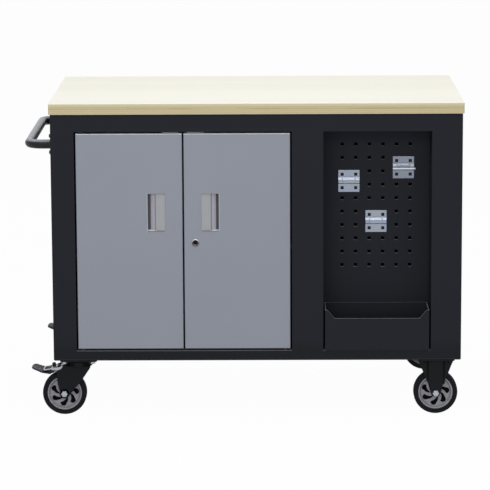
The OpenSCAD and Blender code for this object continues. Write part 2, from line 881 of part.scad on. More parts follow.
// Bolts with their heads on the bottom panel and their nuts under the plates
module caster_bolts() {
    color("silver") for (c = caster_places(), b = plate_bolts()) {
        translate([c[0] + b[0], c[1] + b[1], 0]) {
            translate([0, 0, floor_z]) cylinder(d = 2 * caster_bolt_d, h = bolt_head_t);
            translate([0, 0, plate_z - nut_t - 1])
                cylinder(d = caster_bolt_d, h = floor_z - plate_z + nut_t + 2);
            translate([0, 0, plate_z - nut_t]) cylinder(d = nut_size / cos(30), h = nut_t, $fn = 6);
        }
    }
}

// The flat plate of a caster, with slots for its bolts
module caster_plate(x, y) {
    translate([x, y, plate_z]) linear_extrude(plate_t) difference() {
        round_rect(plate_w, plate_d, 8);
        for (b = plate_bolts()) {
            translate(b) circle(d = caster_bolt_d + 2 * bolt_clear);
        }
    }
}

module swivel_plate(y) {
    boss_d = cup_d - 2 * cup_wall - 1;
    boss_z = crown_z + crown_t + seat_gap + ball_d;
    color("silver") difference() {
        union() {
            caster_plate(swivel_x, y);
            translate([swivel_x, y, boss_z]) cylinder(d = boss_d, h = plate_z - boss_z);
        }
        translate([swivel_x, y, boss_z - 1]) cylinder(d = kingpin_d, h = base_z - boss_z + 2);
    }
}

module caster_kingpins() {
    color("silver") for (y = [caster_y0, caster_y1]) {
        translate([swivel_x, y, crown_z - seat_gap - 3]) {
            cylinder(d = pin_head_d, h = 3);
            cylinder(d = kingpin_d, h = base_z - crown_z + seat_gap + 3);
        }
    }
}

module caster_ball_races() {
    color("silver") for (y = [caster_y0, caster_y1]) {
        translate([swivel_x, y, crown_z + crown_t + seat_gap + ball_d / 2])
            rotate_extrude() translate([race_r, 0]) circle(d = ball_d);
    }
}

// Outline of a fork's leg: [u, z], with u measured from the swivel axis towards the wheel
function leg_outline() = [
    [-cup_d / 2, crown_z + crown_t], [-cup_d / 2, crown_z - 2], [trail, axle_z] + leg_heel,
    [trail, axle_z] + leg_arch, [trail - boss_r + leg_boss_in, axle_z - leg_boss_rise],
    [trail + boss_r - leg_boss_in, axle_z + leg_boss_rise], [trail, axle_z] + leg_shin,
    [trail, axle_z] + leg_knee, [lever_u + 8, lever_z - 4], [lever_u + 8, lever_z + 3],
    [lever_u - 2, crown_z + crown_t]
];

module swivel_fork(y) {
    color("dimgray") difference() {
        union() {
            translate([swivel_x, y, crown_z]) cylinder(d = cup_d, h = cup_top - crown_z);
            slab([swivel_x - lever_u + 20, y - leg_y - leg_t, crown_z],
                 [swivel_x + cup_d / 2, y + leg_y + leg_t, crown_z + crown_t]);
            for (leg = [y - leg_y - leg_t, y + leg_y]) {
                translate([swivel_x, 0, 0]) mirror([1, 0, 0]) wall_xz(leg, leg_t) polygon(leg_outline());
                rod_y([swivel_x - trail, leg, axle_z], 2 * boss_r, leg_t);
            }
            rod_y([swivel_x - lever_u, y - leg_y, lever_z], lever_pin_d, fork_gap);
        }
        translate([swivel_x, y, crown_z + crown_t]) cylinder(d = cup_d - 2 * cup_wall, h = 30);
        translate([swivel_x, y, crown_z - 1]) cylinder(d = kingpin_d + 2 * run_clear, h = crown_t + 2);
        rod_y([swivel_x - trail, y - leg_y - leg_t - 1, axle_z], axle_d, fork_gap + 2 * leg_t + 2);
    }
}

// Hexagon bolt through the legs and the hub, head in front, nut behind. outer is the clamped half width
module axle_bolt(x, y, outer) {
    color("silver") {
        hex_y([x, y - outer - axle_head_t, axle_z], axle_head, axle_head_t);
        rod_y([x, y - outer, axle_z], axle_d, 2 * outer + axle_head_t + 3);
        hex_y([x, y + outer, axle_z], axle_head, axle_head_t);
    }
}

// One teardrop slot: narrow near the hub, wide outside, swept clockwise on its way out
slot_r0 = 15;
slot_r1 = rim_d / 2 - 17;
slot_sweep = 34;
slot_half = 8.5;
slot_steps = 8;
function slot_r(t) = slot_r0 + (slot_r1 - slot_r0) * t;
function slot_mid(t) = slot_r(t) * [cos(slot_sweep * t), -sin(slot_sweep * t)];
function slot_side(t, s) = let (r = slot_r(t), w = 0.8 + (slot_half - 0.8) * t,
    a = -slot_sweep * t + s * w / r * deg) [r * cos(a), r * sin(a)];

module swirl_slot() {
    steps = [for (i = [0 : slot_steps]) i / slot_steps];
    polygon(concat([for (t = steps) slot_side(t, 1)],
                   [for (i = [slot_steps : -1 : 0]) slot_side(i / slot_steps, -1)]));
    translate(slot_mid(1)) circle(r = slot_half);
}

// Rim with its hub. The web's front face is seen from -Y
module wheel_rim(x, y) {
    rim_r = rim_d / 2;
    rim_w = tyre_w - 6;
    lip = 5;
    color("silver") difference() {
        union() {
            translate([x, y + rim_w / 2, axle_z]) rotate([90, 0, 0]) linear_extrude(rim_w) difference() {
                circle(r = rim_r);
                circle(r = rim_r - lip);
            }
            translate([x, y + web_t / 2, axle_z]) rotate([90, 0, 0]) linear_extrude(web_t) difference() {
                circle(r = rim_r - lip / 2);
                for (i = [0 : slot_count - 1]) {
                    rotate([0, 0, 90 + i * 360 / slot_count]) swirl_slot();
                }
            }
            rod_y([x, y - core_t / 2, axle_z], rim_d - lip, core_t);
            rod_y([x, y - hub_w / 2, axle_z], 2 * slot_r0 - 4, hub_w);
        }
        rod_y([x, y - hub_w, axle_z], axle_d + 2 * run_clear, 2 * hub_w);
    }
}

// Tyre profile: [radius, offset across], with rounded shoulders
module wheel_tyre(x, y) {
    r1 = wheel_d / 2;
    half = tyre_w / 2;
    round_r = min(6, (wheel_d - rim_d) / 4);
    color("dimgray") translate([x, y, axle_z]) rotate([90, 0, 0]) rotate_extrude() {
        translate([rim_d / 2, -half + round_r]) square([r1 - rim_d / 2, tyre_w - 2 * round_r]);
        translate([rim_d / 2, -half]) square([r1 - rim_d / 2 - round_r, tyre_w]);
        for (s = [-1, 1]) {
            translate([r1 - round_r, s * (half - round_r)]) circle(r = round_r);
        }
    }
}

// A brake part's outline, [u, z], over the given width
module brake_wall(y, w) {
    translate([swivel_x, 0, 0]) mirror([1, 0, 0]) wall_xz(y - w / 2, w) children();
}

// Top edge of the brake lever: an inner arm over the crown, then an outer arm down to the pedal
function lever_top() = [
    [lever_u - 19, lever_z + lever_rise], [lever_u - 3, lever_z + 3], [lever_u + 3, lever_z + 3],
    [pedal_reach - pedal_len, lever_z - 7]
];

module lever_section() {
    top = lever_top();
    polygon(concat(top, [for (i = [len(top) - 1 : -1 : 0]) top[i] - [0, lever_t]]));
}

// A box over the lever's width from u0 to u1
module lever_span(u0, u1, y, w) {
    slab([swivel_x - u1, y - w / 2, crown_z - 30], [swivel_x - u0, y + w / 2, base_z]);
}

// Brake lever: narrow between the fork's legs, wide outside them with a window, and a knob on top
module brake_lever(y) {
    neck_u = pedal_reach - pedal_len - 11;
    color("silver") difference() {
        union() {
            brake_wall(y, lever_w) lever_section();
            intersection() {
                brake_wall(y, pedal_w) lever_section();
                lever_span(lever_wide_u, neck_u, y, pedal_w);
            }
            rod_y([swivel_x - lever_u, y - lever_w / 2, lever_z], 2 * lever_eye_r, lever_w);
            translate([swivel_x - knob_u, y, lever_z - 1]) cylinder(d = knob_d, h = knob_h);
        }
        lever_span(knob_u + knob_d / 2 + 1, neck_u - lever_strip, y, pedal_w - 2 * lever_strip);
        rod_y([swivel_x - lever_u, y - lever_w, lever_z], lever_pin_d + 2 * run_clear, 2 * lever_w);
    }
}

// Height of the lever's underside, less a hair, at u on its outer arm
function lever_under(u) = let (slope = 10 / (pedal_reach - pedal_len - lever_u - 3))
    lever_z + 3 - lever_t - 0.2 - slope * (u - lever_u - 3);

// Outline of the pedal pad and its tongue from u0 outwards
module pad_section(u0) {
    tip_u = pedal_reach - pedal_len;
    z = lever_z - 7;
    polygon([
        [tip_u - 10, z + 3], [pedal_reach - 5, z + 11.2], [pedal_reach - 1, z + 10], [pedal_reach, z + 7.5],
        [pedal_reach - 3, z + 5], [tip_u - 6, z - 6.5], [tip_u - 30, z - 10.5], [tip_u - 35, z - 7.5],
        [u0, z - 5.5], [u0, lever_under(u0)], [tip_u - 10, lever_under(tip_u - 10)]
    ]);
}

// Pedal pad: a moulded tip that rises outwards and holds the lever's end. Its tongue lies under the lever and
// ends between the fork's legs
module pedal_pad(y) {
    color("dimgray") difference() {
        union() {
            intersection() {
                brake_wall(y, pedal_w) pad_section(lever_u + 13);
                translate([swivel_x - pedal_reach + 40, y, 0]) linear_extrude(base_z)
                    round_rect(80, pedal_w, pedal_round);
            }
            brake_wall(y, lever_w) pad_section(lever_u + 9);
        }
        brake_wall(y, lever_w) lever_section();
    }
}

module front_left_plate() { swivel_plate(caster_y0); }
module front_left_fork() { swivel_fork(caster_y0); }
module front_left_axle() { axle_bolt(swivel_x - trail, caster_y0, leg_y + leg_t); }
module front_left_rim() { wheel_rim(swivel_x - trail, caster_y0); }
module front_left_tyre() { wheel_tyre(swivel_x - trail, caster_y0); }
module front_left_brake_lever() { brake_lever(caster_y0); }
module front_left_pedal_pad() { pedal_pad(caster_y0); }
module rear_left_plate() { swivel_plate(caster_y1); }
module rear_left_fork() { swivel_fork(caster_y1); }
module rear_left_axle() { axle_bolt(swivel_x - trail, caster_y1, leg_y + leg_t); }
module rear_left_rim() { wheel_rim(swivel_x - trail, caster_y1); }
module rear_left_tyre() { wheel_tyre(swivel_x - trail, caster_y1); }
module rear_left_brake_lever() { brake_lever(caster_y1); }
module rear_left_pedal_pad() { pedal_pad(caster_y1); }

// Half the outline of a rigid bracket's leg, from the middle out: [x, z]
function bracket_half() = [[wing_w, plate_z], [wing_waist[0], plate_z - wing_waist[1]],
    [wing_ankle[0], axle_z + wing_ankle[1]], [boss_r, axle_z]];

// Both sides of an outline that is the same left and right of its middle
function mirrored(half) = concat(half, [for (i = [len(half) - 1 : -1 : 0]) [-half[i][0], half[i][1]]]);

module rigid_bracket(y) {
    rib_half = [[rib_w / 2, plate_z], [rib_w / 2, axle_z + rib_knee], [boss_r, axle_z]];
    color("dimgray") difference() {
        union() {
            caster_plate(rigid_x, y);
            for (side = [-1, 1]) {
                leg = side > 0 ? leg_y : -leg_y - leg_t;
                rib = side > 0 ? leg_y + leg_t : -leg_y - leg_t - rib_t;
                translate([rigid_x, 0, 0]) wall_xz(y + leg, leg_t) polygon(mirrored(bracket_half()));
                translate([rigid_x, 0, 0]) wall_xz(y + rib, rib_t) polygon(mirrored(rib_half));
                rod_y([rigid_x, y + min(leg, rib), axle_z], 2 * boss_r, leg_t + rib_t);
            }
        }
        rod_y([rigid_x, y - leg_y - leg_t - rib_t - 1, axle_z], axle_d, fork_gap + 2 * (leg_t + rib_t) + 2);
    }
}

module front_right_bracket() { rigid_bracket(caster_y0); }
module front_right_rim() { wheel_rim(rigid_x, caster_y0); }
module front_right_tyre() { wheel_tyre(rigid_x, caster_y0); }
module rear_right_bracket() { rigid_bracket(caster_y1); }
module rear_right_rim() { wheel_rim(rigid_x, caster_y1); }
module rear_right_tyre() { wheel_tyre(rigid_x, caster_y1); }

module rigid_axles() {
    for (y = [caster_y0, caster_y1]) {
        axle_bolt(rigid_x, y, leg_y + leg_t + rib_t);
    }
}

worktop();
left_side_panel();
right_side_panel();
left_stile();
centre_stile();
right_stile();
top_rail();
bottom_rail();
back_panel();
bottom_panel();
centre_partition();
shelf();
shelf_clips();
pegboard();
niche_left_wall();
niche_right_wall();
niche_ceiling();
tool_bin();
upper_left_hook();
upper_right_hook();
lower_hook();
push_handle();
side_screws();
worktop_screws();
caster_bolts();
door_catches();
hinge_pins();
left_door_skin();
left_door_liner();
left_pull();
right_door_skin();
right_door_liner();
right_pull();
lock_barrel();
lock_nut();
lock_plug();
lock_cam();
caster_kingpins();
caster_ball_races();
front_left_plate();
front_left_fork();
front_left_axle();
front_left_rim();
front_left_tyre();
front_left_brake_lever();
front_left_pedal_pad();
rear_left_plate();
rear_left_fork();
rear_left_axle();
rear_left_rim();
rear_left_tyre();
rear_left_brake_lever();
rear_left_pedal_pad();
front_right_bracket();
front_right_rim();
front_right_tyre();
rear_right_bracket();
rear_right_rim();
rear_right_tyre();
rigid_axles();
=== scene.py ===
"""Looks of the mobile tool cabinet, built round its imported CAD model. Metres; +Z is up, the doors face -Y."""

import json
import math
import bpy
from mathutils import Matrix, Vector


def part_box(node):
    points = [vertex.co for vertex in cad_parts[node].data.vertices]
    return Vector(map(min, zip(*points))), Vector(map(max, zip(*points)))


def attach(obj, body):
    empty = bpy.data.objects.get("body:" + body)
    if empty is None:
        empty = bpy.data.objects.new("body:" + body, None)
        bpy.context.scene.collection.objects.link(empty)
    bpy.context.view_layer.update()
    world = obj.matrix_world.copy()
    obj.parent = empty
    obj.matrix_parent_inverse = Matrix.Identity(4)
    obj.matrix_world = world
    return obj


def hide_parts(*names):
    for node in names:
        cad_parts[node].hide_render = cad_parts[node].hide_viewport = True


bl_info = {
    "name": "Mobile tool cabinet",
    "version": (1, 0, 0),
    "blender": (4, 5, 0),
    "location": "View3D > Sidebar > Tool cabinet",
    "description": "Builds the visible pieces of a mobile tool cabinet round its CAD frame",
    "category": "Object",
}

import bmesh
import bpy
import numpy as np
from bpy.props import FloatProperty, FloatVectorProperty, IntProperty, PointerProperty
from mathutils import Quaternion, Vector

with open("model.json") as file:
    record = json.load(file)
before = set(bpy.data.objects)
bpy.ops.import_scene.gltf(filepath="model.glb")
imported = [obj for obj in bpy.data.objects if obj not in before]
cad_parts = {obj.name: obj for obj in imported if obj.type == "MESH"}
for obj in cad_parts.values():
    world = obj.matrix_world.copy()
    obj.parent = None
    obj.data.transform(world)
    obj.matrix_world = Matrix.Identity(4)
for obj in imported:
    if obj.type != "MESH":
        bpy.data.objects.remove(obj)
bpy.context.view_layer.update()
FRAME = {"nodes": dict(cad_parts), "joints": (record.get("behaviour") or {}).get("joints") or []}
NODES = FRAME["nodes"]
AXES = {joint["name"]: np.array(joint["pos_m"]) for joint in FRAME["joints"]}
MM = 0.001
FRONT = np.array([0.0, -1.0, 0.0])


def corners(node):
    """Lowest and highest corner of a CAD node, as arrays."""
    low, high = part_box(node)
    return np.array(low), np.array(high)


# ------------------------------------------------------------------ places taken from the frame

_left, _centre, _right = corners("left_stile"), corners("centre_stile"), corners("right_stile")
LEFT_X, FRONT_Y, BASE_Z = _left[0]
OPEN_X0, RETURN_Y, TOP_Z = _left[1]
OPEN_X1, _, OPEN_Z0 = _centre[0]
NICHE_X0, _, OPEN_Z1 = _centre[1]
NICHE_X1, RIGHT_X = _right[0][0], _right[1][0]
INNER_Y = corners("left_side_panel")[0][1]
BACK_Y = corners("back_panel")[1][1]
SHEET = INNER_Y - FRONT_Y
PEG_Y = corners("pegboard")[0][1]
CROWN_DROP, PLATE_T, CUP_DROP = 22 * MM, 4 * MM, 6.5 * MM
HOOK_T, HOOK_BROW, HOOK_FOOT, HOOK_SPLIT = 2 * MM, 13.5 * MM, 7 * MM, 18 * MM
FLANGE_W, FLANGE_T, FLANGE_PITCH = 38 * MM, 4 * MM, 46.5 * MM
LEG_GAP, LEG_T, BOSS_R, TRAIL, LEVER_U = 40.6 * MM, 2.8 * MM, 14 * MM, 42 * MM, 57 * MM


# ------------------------------------------------------------------ sizes and colours a user would change


def length(name, default, about):
    """A property in metres."""
    return FloatProperty(name=name, description=about, default=default, min=0.0, unit="LENGTH", precision=4)


def paint(name, default, about):
    """A colour property."""
    limits = {"size": 3, "min": 0.0, "max": 1.0, "subtype": "COLOR"}
    return FloatVectorProperty(name=name, description=about, default=default, **limits)


def angle(name, degrees, about):
    """An angle property, given in degrees."""
    return FloatProperty(name=name, description=about, default=math.radians(degrees), subtype="ANGLE")


def amount(name, default, about):
    """A property that is a plain number, 0 or more."""
    return FloatProperty(name=name, description=about, default=default, min=0.0)


class CabinetSizes(bpy.types.PropertyGroup):
    """Small radii and details that the CAD solids leave plain."""

    fold_r: length("Fold radius", 1.5 * MM, "Outer radius of the folds round the openings")
    corner_r: length("Body corner", 4 * MM, "Radius of the body's long bottom edges")
    door_fold_r: length("Door fold", 3.0 * MM, "Outer radius of the doors' folded edges")
    top_edge_r: length("Worktop edge", 0.8 * MM, "Rounding of the worktop's edges")
    top_corner_r: length("Worktop corner", 2.5 * MM, "Radius of the worktop's corners seen from above")
    peg_edge_r: length("Peg hole edge", 2.0 * MM, "Rounding of the punched holes' edges")
    peg_pitch: length("Peg pitch", 38.6 * MM, "Distance between the pegboard's holes")
    peg_hole: length("Peg hole", 8.3 * MM, "Side of a square hole")
    peg_drop: length("Peg drop", 51.0 * MM, "Top row of holes below the niche's top edge")
    hook_hole: length("Hook hole", 9 * MM, "Side of a square hole in a hook's plate")
    bulge: length("Hook bulge", 2.3 * MM, "How far the bulge across a hook stands out from its plate")
    bulge_gap: length("Bulge gap", 1.6 * MM, "Gap between two lengths of the bulge")
    hem_r: length("Bin hem", 2.0 * MM, "Radius of the rolled hem on the bin's top edge")
    ear_h: length("Ear height", 24 * MM, "Height of the bin's ears above its front edge")
    weld_w: length("Weld width", 3.5 * MM, "Width of the weld round the handle's legs")
    tube_d: length("Handle tube", 26 * MM, "Diameter of the handle's tube")
    bend_r: length("Handle bend", 38 * MM, "Bend radius on the tube's centre line")
    tyre_edge_r: length("Tyre shoulder", 5.5 * MM, "Radius of a tyre's shoulders")
    spoke_edge_r: length("Spoke edge", 1.6 * MM, "Rounding of a rim's spokes")
    rib_count: IntProperty(name="Pedal ribs", description="Ribs across a brake pedal", default=6, min=2, max=12)


class CabinetColours(bpy.types.PropertyGroup):
    """Base colours of the finishes."""

    body: paint("Body", (0.0112, 0.0121, 0.0166), "Fine-textured black powder coat")
    door: paint("Door", (0.253, 0.274, 0.319), "Silver-grey powder coat")
    handle: paint("Handle", (0.010, 0.0105, 0.0125), "Semi-gloss black paint of the push handle")
    fork: paint("Fork", (0.0052, 0.0058, 0.0078), "Black coat of the casters' steel parts")
    zinc: paint("Zinc", (0.40, 0.43, 0.48), "Blue zinc plate")
    hook: paint("Hook", (0.30, 0.342, 0.43), "Satin zinc of the hooks")
    pull: paint("Pull", (0.36, 0.37, 0.385), "Satin metal of the recessed pulls")
    chrome: paint("Chrome", (0.80, 0.80, 0.82), "Bright chrome of the lock")
    veneer: paint("Veneer", (0.850, 0.843, 0.762), "Lacquered birch face of the worktop")
    ply: paint("Plies", (0.531, 0.455, 0.268), "Cut edge of the plies")
    tyre: paint("Tyre", (0.0060, 0.0066, 0.0092), "Black rubber")
    rim: paint("Rim", (0.228, 0.225, 0.250), "Grey moulded nylon")
    pedal: paint("Pedal", (0.098, 0.100, 0.110), "Dark grey ribbed plastic")
    catch: paint("Catch", (0.80, 0.80, 0.78), "White plastic of the door catches")


class CabinetStage(bpy.types.PropertyGroup):
    """Camera and light."""

    camera_place: FloatVectorProperty(
        name="Camera", description="Place of the camera", default=(0.0725, -7.8532, 1.8498), size=3, subtype="XYZ"
    )
    camera_tilt: angle("Tilt", 10.208, "Camera below the horizon")
    camera_turn: angle("Turn", 0.516, "Camera to the left")
    camera_roll: angle("Roll", -0.272, "Camera about its own axis")
    lens: amount("Lens", 199.94, "Focal length in millimetres on a 36 mm sensor")
    floor_size: length("Floor", 120.0, "Side of the floor")
    sky: amount("Room light", 0.45, "Strength of the even light")
    top_power: amount("Top light", 62.0, "Power of the softbox above")
    front_power: amount("Front light", 80.0, "Power of the softbox in front")
    strip_power: amount("Strip light", 26.0, "Power of the high strip in front")


# ------------------------------------------------------------------ surfaces


class Shape:
    """Gathers grids of points and their faces until they go into one mesh."""

    def __init__(self):
        self.points, self.faces, self.count = [], [], 0

    def grid(self, points, around=False, along=False, caps=False):
        """Quads between the neighbours of a grid of points, rows by columns. around joins the last column to
        the first, along joins the last row to the first, and caps closes the first and last row with a face."""
        rows, cols = points.shape[:2]
        i = np.arange(rows - (not along))[:, None]
        j = np.arange(cols - (not around))[None, :]
        k, m = (i + 1) % rows, (j + 1) % cols
        faces = np.stack(np.broadcast_arrays(i * cols + j, i * cols + m, k * cols + m, k * cols + j), -1)
        self.faces += (faces.reshape(-1, 4) + self.count).tolist()
        if caps:
            ring = np.arange(cols) + self.count
            self.faces += [ring[::-1].tolist(), (ring + (rows - 1) * cols).tolist()]
        self.points.append(points.reshape(-1, 3))
        self.count += rows * cols
        return self

    def face(self, points):
        """One flat face."""
        self.points.append(points)
        self.faces.append((np.arange(len(points)) + self.count).tolist())
        self.count += len(points)
        return self


def points_at(x, y, z):
    """Points from their coordinates, which are values or arrays that fit one another."""
    return np.stack(np.broadcast_arrays(x, y, z), -1)


def from_mm(*rows, at=0.0):
    """Rows or values in millimetres as metres, from a point."""
    return np.array(rows) * MM + at


def mirrored(rows, signs=(-1, 1)):
    """Rows followed by their mirror image in the opposite order."""
    rows = np.asarray(rows)
    return np.concatenate([rows, rows[::-1] * signs])


def distinct(path):
    """A path without the points that repeat the one before."""
    return path[np.r_[True, np.linalg.norm(np.diff(path, axis=0), axis=1) > 1e-6]]


def quarter(radius, steps=4):
    """A quarter circle as two arrays: radius * (1 - cos a) and radius * (1 - sin a), a from 0 to 90 degrees."""
    a = np.linspace(0, math.pi / 2, steps + 1)
    return radius * (1 - np.cos(a)), radius * (1 - np.sin(a))


def round_corners(points, radii, steps=4, closed=True):
    """Points and outward normals of a counter-clockwise outline whose corners are arcs. An arc's centre lies
    r inside the corner's first edge, and its points are the centre plus r times the turning normal."""
    p = np.asarray(points, float)
    r = np.broadcast_to(np.asarray(radii, float), len(p)).copy()
    before, after = p - np.roll(p, 1, 0), np.roll(p, -1, 0) - p
    if not closed:
        before[0], after[-1] = after[0], before[-1]
        r[0] = r[-1] = 0
    d1 = before / np.linalg.norm(before, axis=1)[:, None]
    d2 = after / np.linalg.norm(after, axis=1)[:, None]
    turn = np.arctan2(d1[:, 0] * d2[:, 1] - d1[:, 1] * d2[:, 0], (d1 * d2).sum(1))
    sign = np.where(turn < 0, -1.0, 1.0)
    n1 = np.stack([d1[:, 1], -d1[:, 0]], 1)
    centre = p - d1 * (r * np.tan(abs(turn) / 2))[:, None] - n1 * (sign * r)[:, None]
    angle = np.arctan2(n1[:, 1], n1[:, 0])[:, None] + turn[:, None] * np.linspace(0, 1, steps + 1)
    normal = np.stack([np.cos(angle), np.sin(angle)], -1)
    arc = centre[:, None] + normal * (sign * r)[:, None, None]
    return arc.reshape(-1, 2), normal.reshape(-1, 2)


def rectangle(width, height, radius, steps=4):
    """Points and normals of a rectangle with round corners about the origin."""
    w, h = width / 2, height / 2
    return round_corners([(-w, -h), (w, -h), (w, h), (-w, h)], radius, steps)


def grown(outline, amounts):
    """An outline moved out along its normals, once for each amount."""
    points, normals = outline
    return points + normals * np.asarray(amounts)[:, None, None]


def turned_to(local, origin, u, v, w):
    """Local coordinates (a, b, c) become origin + a u + b v + c w."""
    return np.asarray(origin) + local[..., :1] * u + local[..., 1:2] * v + local[..., 2:] * w


X, Y, Z = np.eye(3)


def plate(shape, outline, thickness, edge, origin, u=X, v=Z, w=Y):
    """A plate with rounded edges: the outline moves in along its normals by r - r sin a while it climbs
    by r - r cos a at both faces. It fills w from 0 to its thickness."""
    inward, climb = quarter(edge, 3)
    offset = -np.concatenate([inward[::-1], inward]) if edge else np.zeros(2)
    height = np.concatenate([climb[::-1], thickness - climb]) if edge else np.array([0, thickness])
    rings = grown(outline, offset)
    local = points_at(rings[..., 0], rings[..., 1], height[:, None])
    return shape.grid(turned_to(local, origin, u, v, w), around=True, caps=True)


def lathe(shape, profile, centre, axis=Y, steps=48, flats=None, bore=False):
    """A profile of (radius, distance along the axis) turned about the axis. A row marked in flats is a
    hexagon instead of a circle: its radius is divided by the cosine of the angle to the nearest flat's middle.
    bore joins the profile's end to its start, round a hole; without it both ends are closed by a disc."""
    profile = np.asarray(profile, float)
    a = np.linspace(0, 2 * math.pi, steps, endpoint=False)
    to_flat = (a + math.pi / 6) % (math.pi / 3) - math.pi / 6
    hexagon = np.asarray(flats if flats is not None else np.zeros(len(profile)))[:, None]
    radius = profile[:, :1] / np.where(hexagon > 0, np.cos(to_flat)[None], 1.0)
    u = Z if abs(axis[2]) < 0.5 else X
    v = np.cross(axis, u)
    local = points_at(radius * np.cos(a), radius * np.sin(a), profile[:, 1:])
    return shape.grid(turned_to(local, centre, u, v, axis), around=True, along=bore, caps=not bore)


def tube(shape, path, radius, up=Z, steps=20, caps=True):
    """A round tube along a flat path: each ring is the path's point plus r cos a across and r sin a along up."""
    path = np.asarray(path, float)
    tangent = np.gradient(path, axis=0)
    tangent /= np.linalg.norm(tangent, axis=1)[:, None]
    across = np.cross(tangent, up)
    across /= np.linalg.norm(across, axis=1)[:, None]
    lift = np.cross(across, tangent)
    a = np.linspace(0, 2 * math.pi, steps, endpoint=False)[None, :, None]
    rings = path[:, None] + radius * (np.cos(a) * across[:, None] + np.sin(a) * lift[:, None])
    return shape.grid(rings, around=True, caps=caps)


def cells(shape, xs, zs, y, holes=()):
    """A flat sheet at depth y, divided at the values xs and zs. The cells whose column and row are in holes
    stay open."""
    count, columns = len(shape.faces), len(xs) - 1
    shape.grid(points_at(np.asarray(xs), y, np.asarray(zs)[:, None]))
    gone = {row * columns + column for column, row in holes}
    shape.faces[count:] = [face for n, face in enumerate(shape.faces[count:]) if n not in gone]
    return shape


def rims(shape, rects, profile, sides=(0, 1, 2, 3)):
    """Folded edges of rectangles, each (x0, x1, z0, z1): the rectangle grows by the profile's first value
    at the depth of its second one, with mitred corners. Side 0 is below, then right, top and left."""
    rects = np.atleast_2d(np.asarray(rects, float))
    grow, depth = np.asarray(profile, float).T
    x0, x1, z0, z1 = (rects[:, i, None] for i in range(4))
    cx = np.stack([x0 - grow, x1 + grow, x1 + grow, x0 - grow], 1)
    cz = np.stack([z0 - grow, z0 - grow, z1 + grow, z1 + grow], 1)
    for rect in points_at(cx, depth, cz):
        for side in sides:
            shape.grid(rect[[side, (side + 1) % 4]])
    return shape


def fold_in(radius, front, depth, steps=4):
    """Profile of an opening's edge: from the sheet's face round a quarter circle into the opening, then
    straight back to depth."""
    climb, inward = quarter(radius, steps)
    rows = np.stack([inward, front + climb], 1)
    return np.concatenate([rows, [[0, depth]]]) if depth > front + radius + 1e-6 else rows


def piece(name, shape, finish, body, replaced=(), outward=None, wall=0.0, sharp=32, soft=0.0):
    """Makes the mesh object. Doubles are merged and normals recalculated, closed shells outwards and an open
    sheet towards outward. Faces that lie square to an axis are shaded flat and the rest smoothly. A wall gives
    the sheet its thickness behind its face, and soft rounds its edges."""
    mesh = bpy.data.meshes.new(name)
    mesh.from_pydata(np.concatenate(shape.points).tolist(), [], shape.faces)
    work = bmesh.new()
    work.from_mesh(mesh)
    bmesh.ops.remove_doubles(work, verts=work.verts, dist=2e-6)
    bmesh.ops.recalc_face_normals(work, faces=work.faces)
    if outward is not None:
        toward = sum((f.normal * f.calc_area() for f in work.faces), Vector())
        if toward.dot(Vector(outward)) < 0:
            bmesh.ops.reverse_faces(work, faces=work.faces)
    work.to_mesh(mesh)
    work.free()
    mesh.shade_smooth()
    mesh.set_sharp_from_angle(angle=math.radians(sharp))
    normals = np.empty(len(mesh.polygons) * 3)
    mesh.polygons.foreach_get("normal", normals)
    level = abs(normals.reshape(-1, 3)).max(1) > 0.999995
    mesh.polygons.foreach_set("use_smooth", ~level)
    obj = bpy.data.objects.new(name, mesh)
    bpy.context.scene.collection.objects.link(obj)
    mesh.materials.append(finish)
    if wall:
        solid = obj.modifiers.new("Wall", "SOLIDIFY")
        solid.thickness, solid.offset, solid.use_even_offset = wall, -1, True
    if soft:
        round_off = obj.modifiers.new("Soft edges", "BEVEL")
        round_off.width, round_off.segments, round_off.angle_limit = soft, 2, math.radians(40)
    even = obj.modifiers.new("Even shading", "WEIGHTED_NORMAL")
    even.keep_sharp = True
    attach(obj, body)
    if replaced:
        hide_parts(*replaced)
    return obj


def copied(node, side):
    """The triangles of a CAD node whose middle has an X of the given sign, as a Shape."""
    source = NODES[node]
    points = np.empty(len(source.data.vertices) * 3)
    source.data.vertices.foreach_get("co", points)
    matrix = np.array(source.matrix_world)
    points = points.reshape(-1, 3) @ matrix[:3, :3].T + matrix[:3, 3]
    order = np.empty(len(source.data.loops), np.int32)
    source.data.loops.foreach_get("vertex_index", order)
    faces = order.reshape(-1, 3)
    faces = faces[points[faces].mean(1)[:, 0] * side > 0]
    used, renumbered = np.unique(faces, return_inverse=True)
    shape = Shape()
    shape.points, shape.faces, shape.count = [points[used]], renumbered.reshape(-1, 3).tolist(), len(used)
    return shape


def dress(node, finish):
    """Gives a CAD node that stays a better material."""
    data = NODES[node].data
    if not data.materials:
        data.materials.append(finish)
    for material_slot in NODES[node].material_slots:
        material_slot.material = finish


# ------------------------------------------------------------------ materials


def arithmetic(operation, turned=False):
    """A method that takes a Value and another one, or a number, through a Math node. turned swaps the two."""

    def method(self, other):
        return self.maths(operation, *((other, self) if turned else (self, other)))

    return method


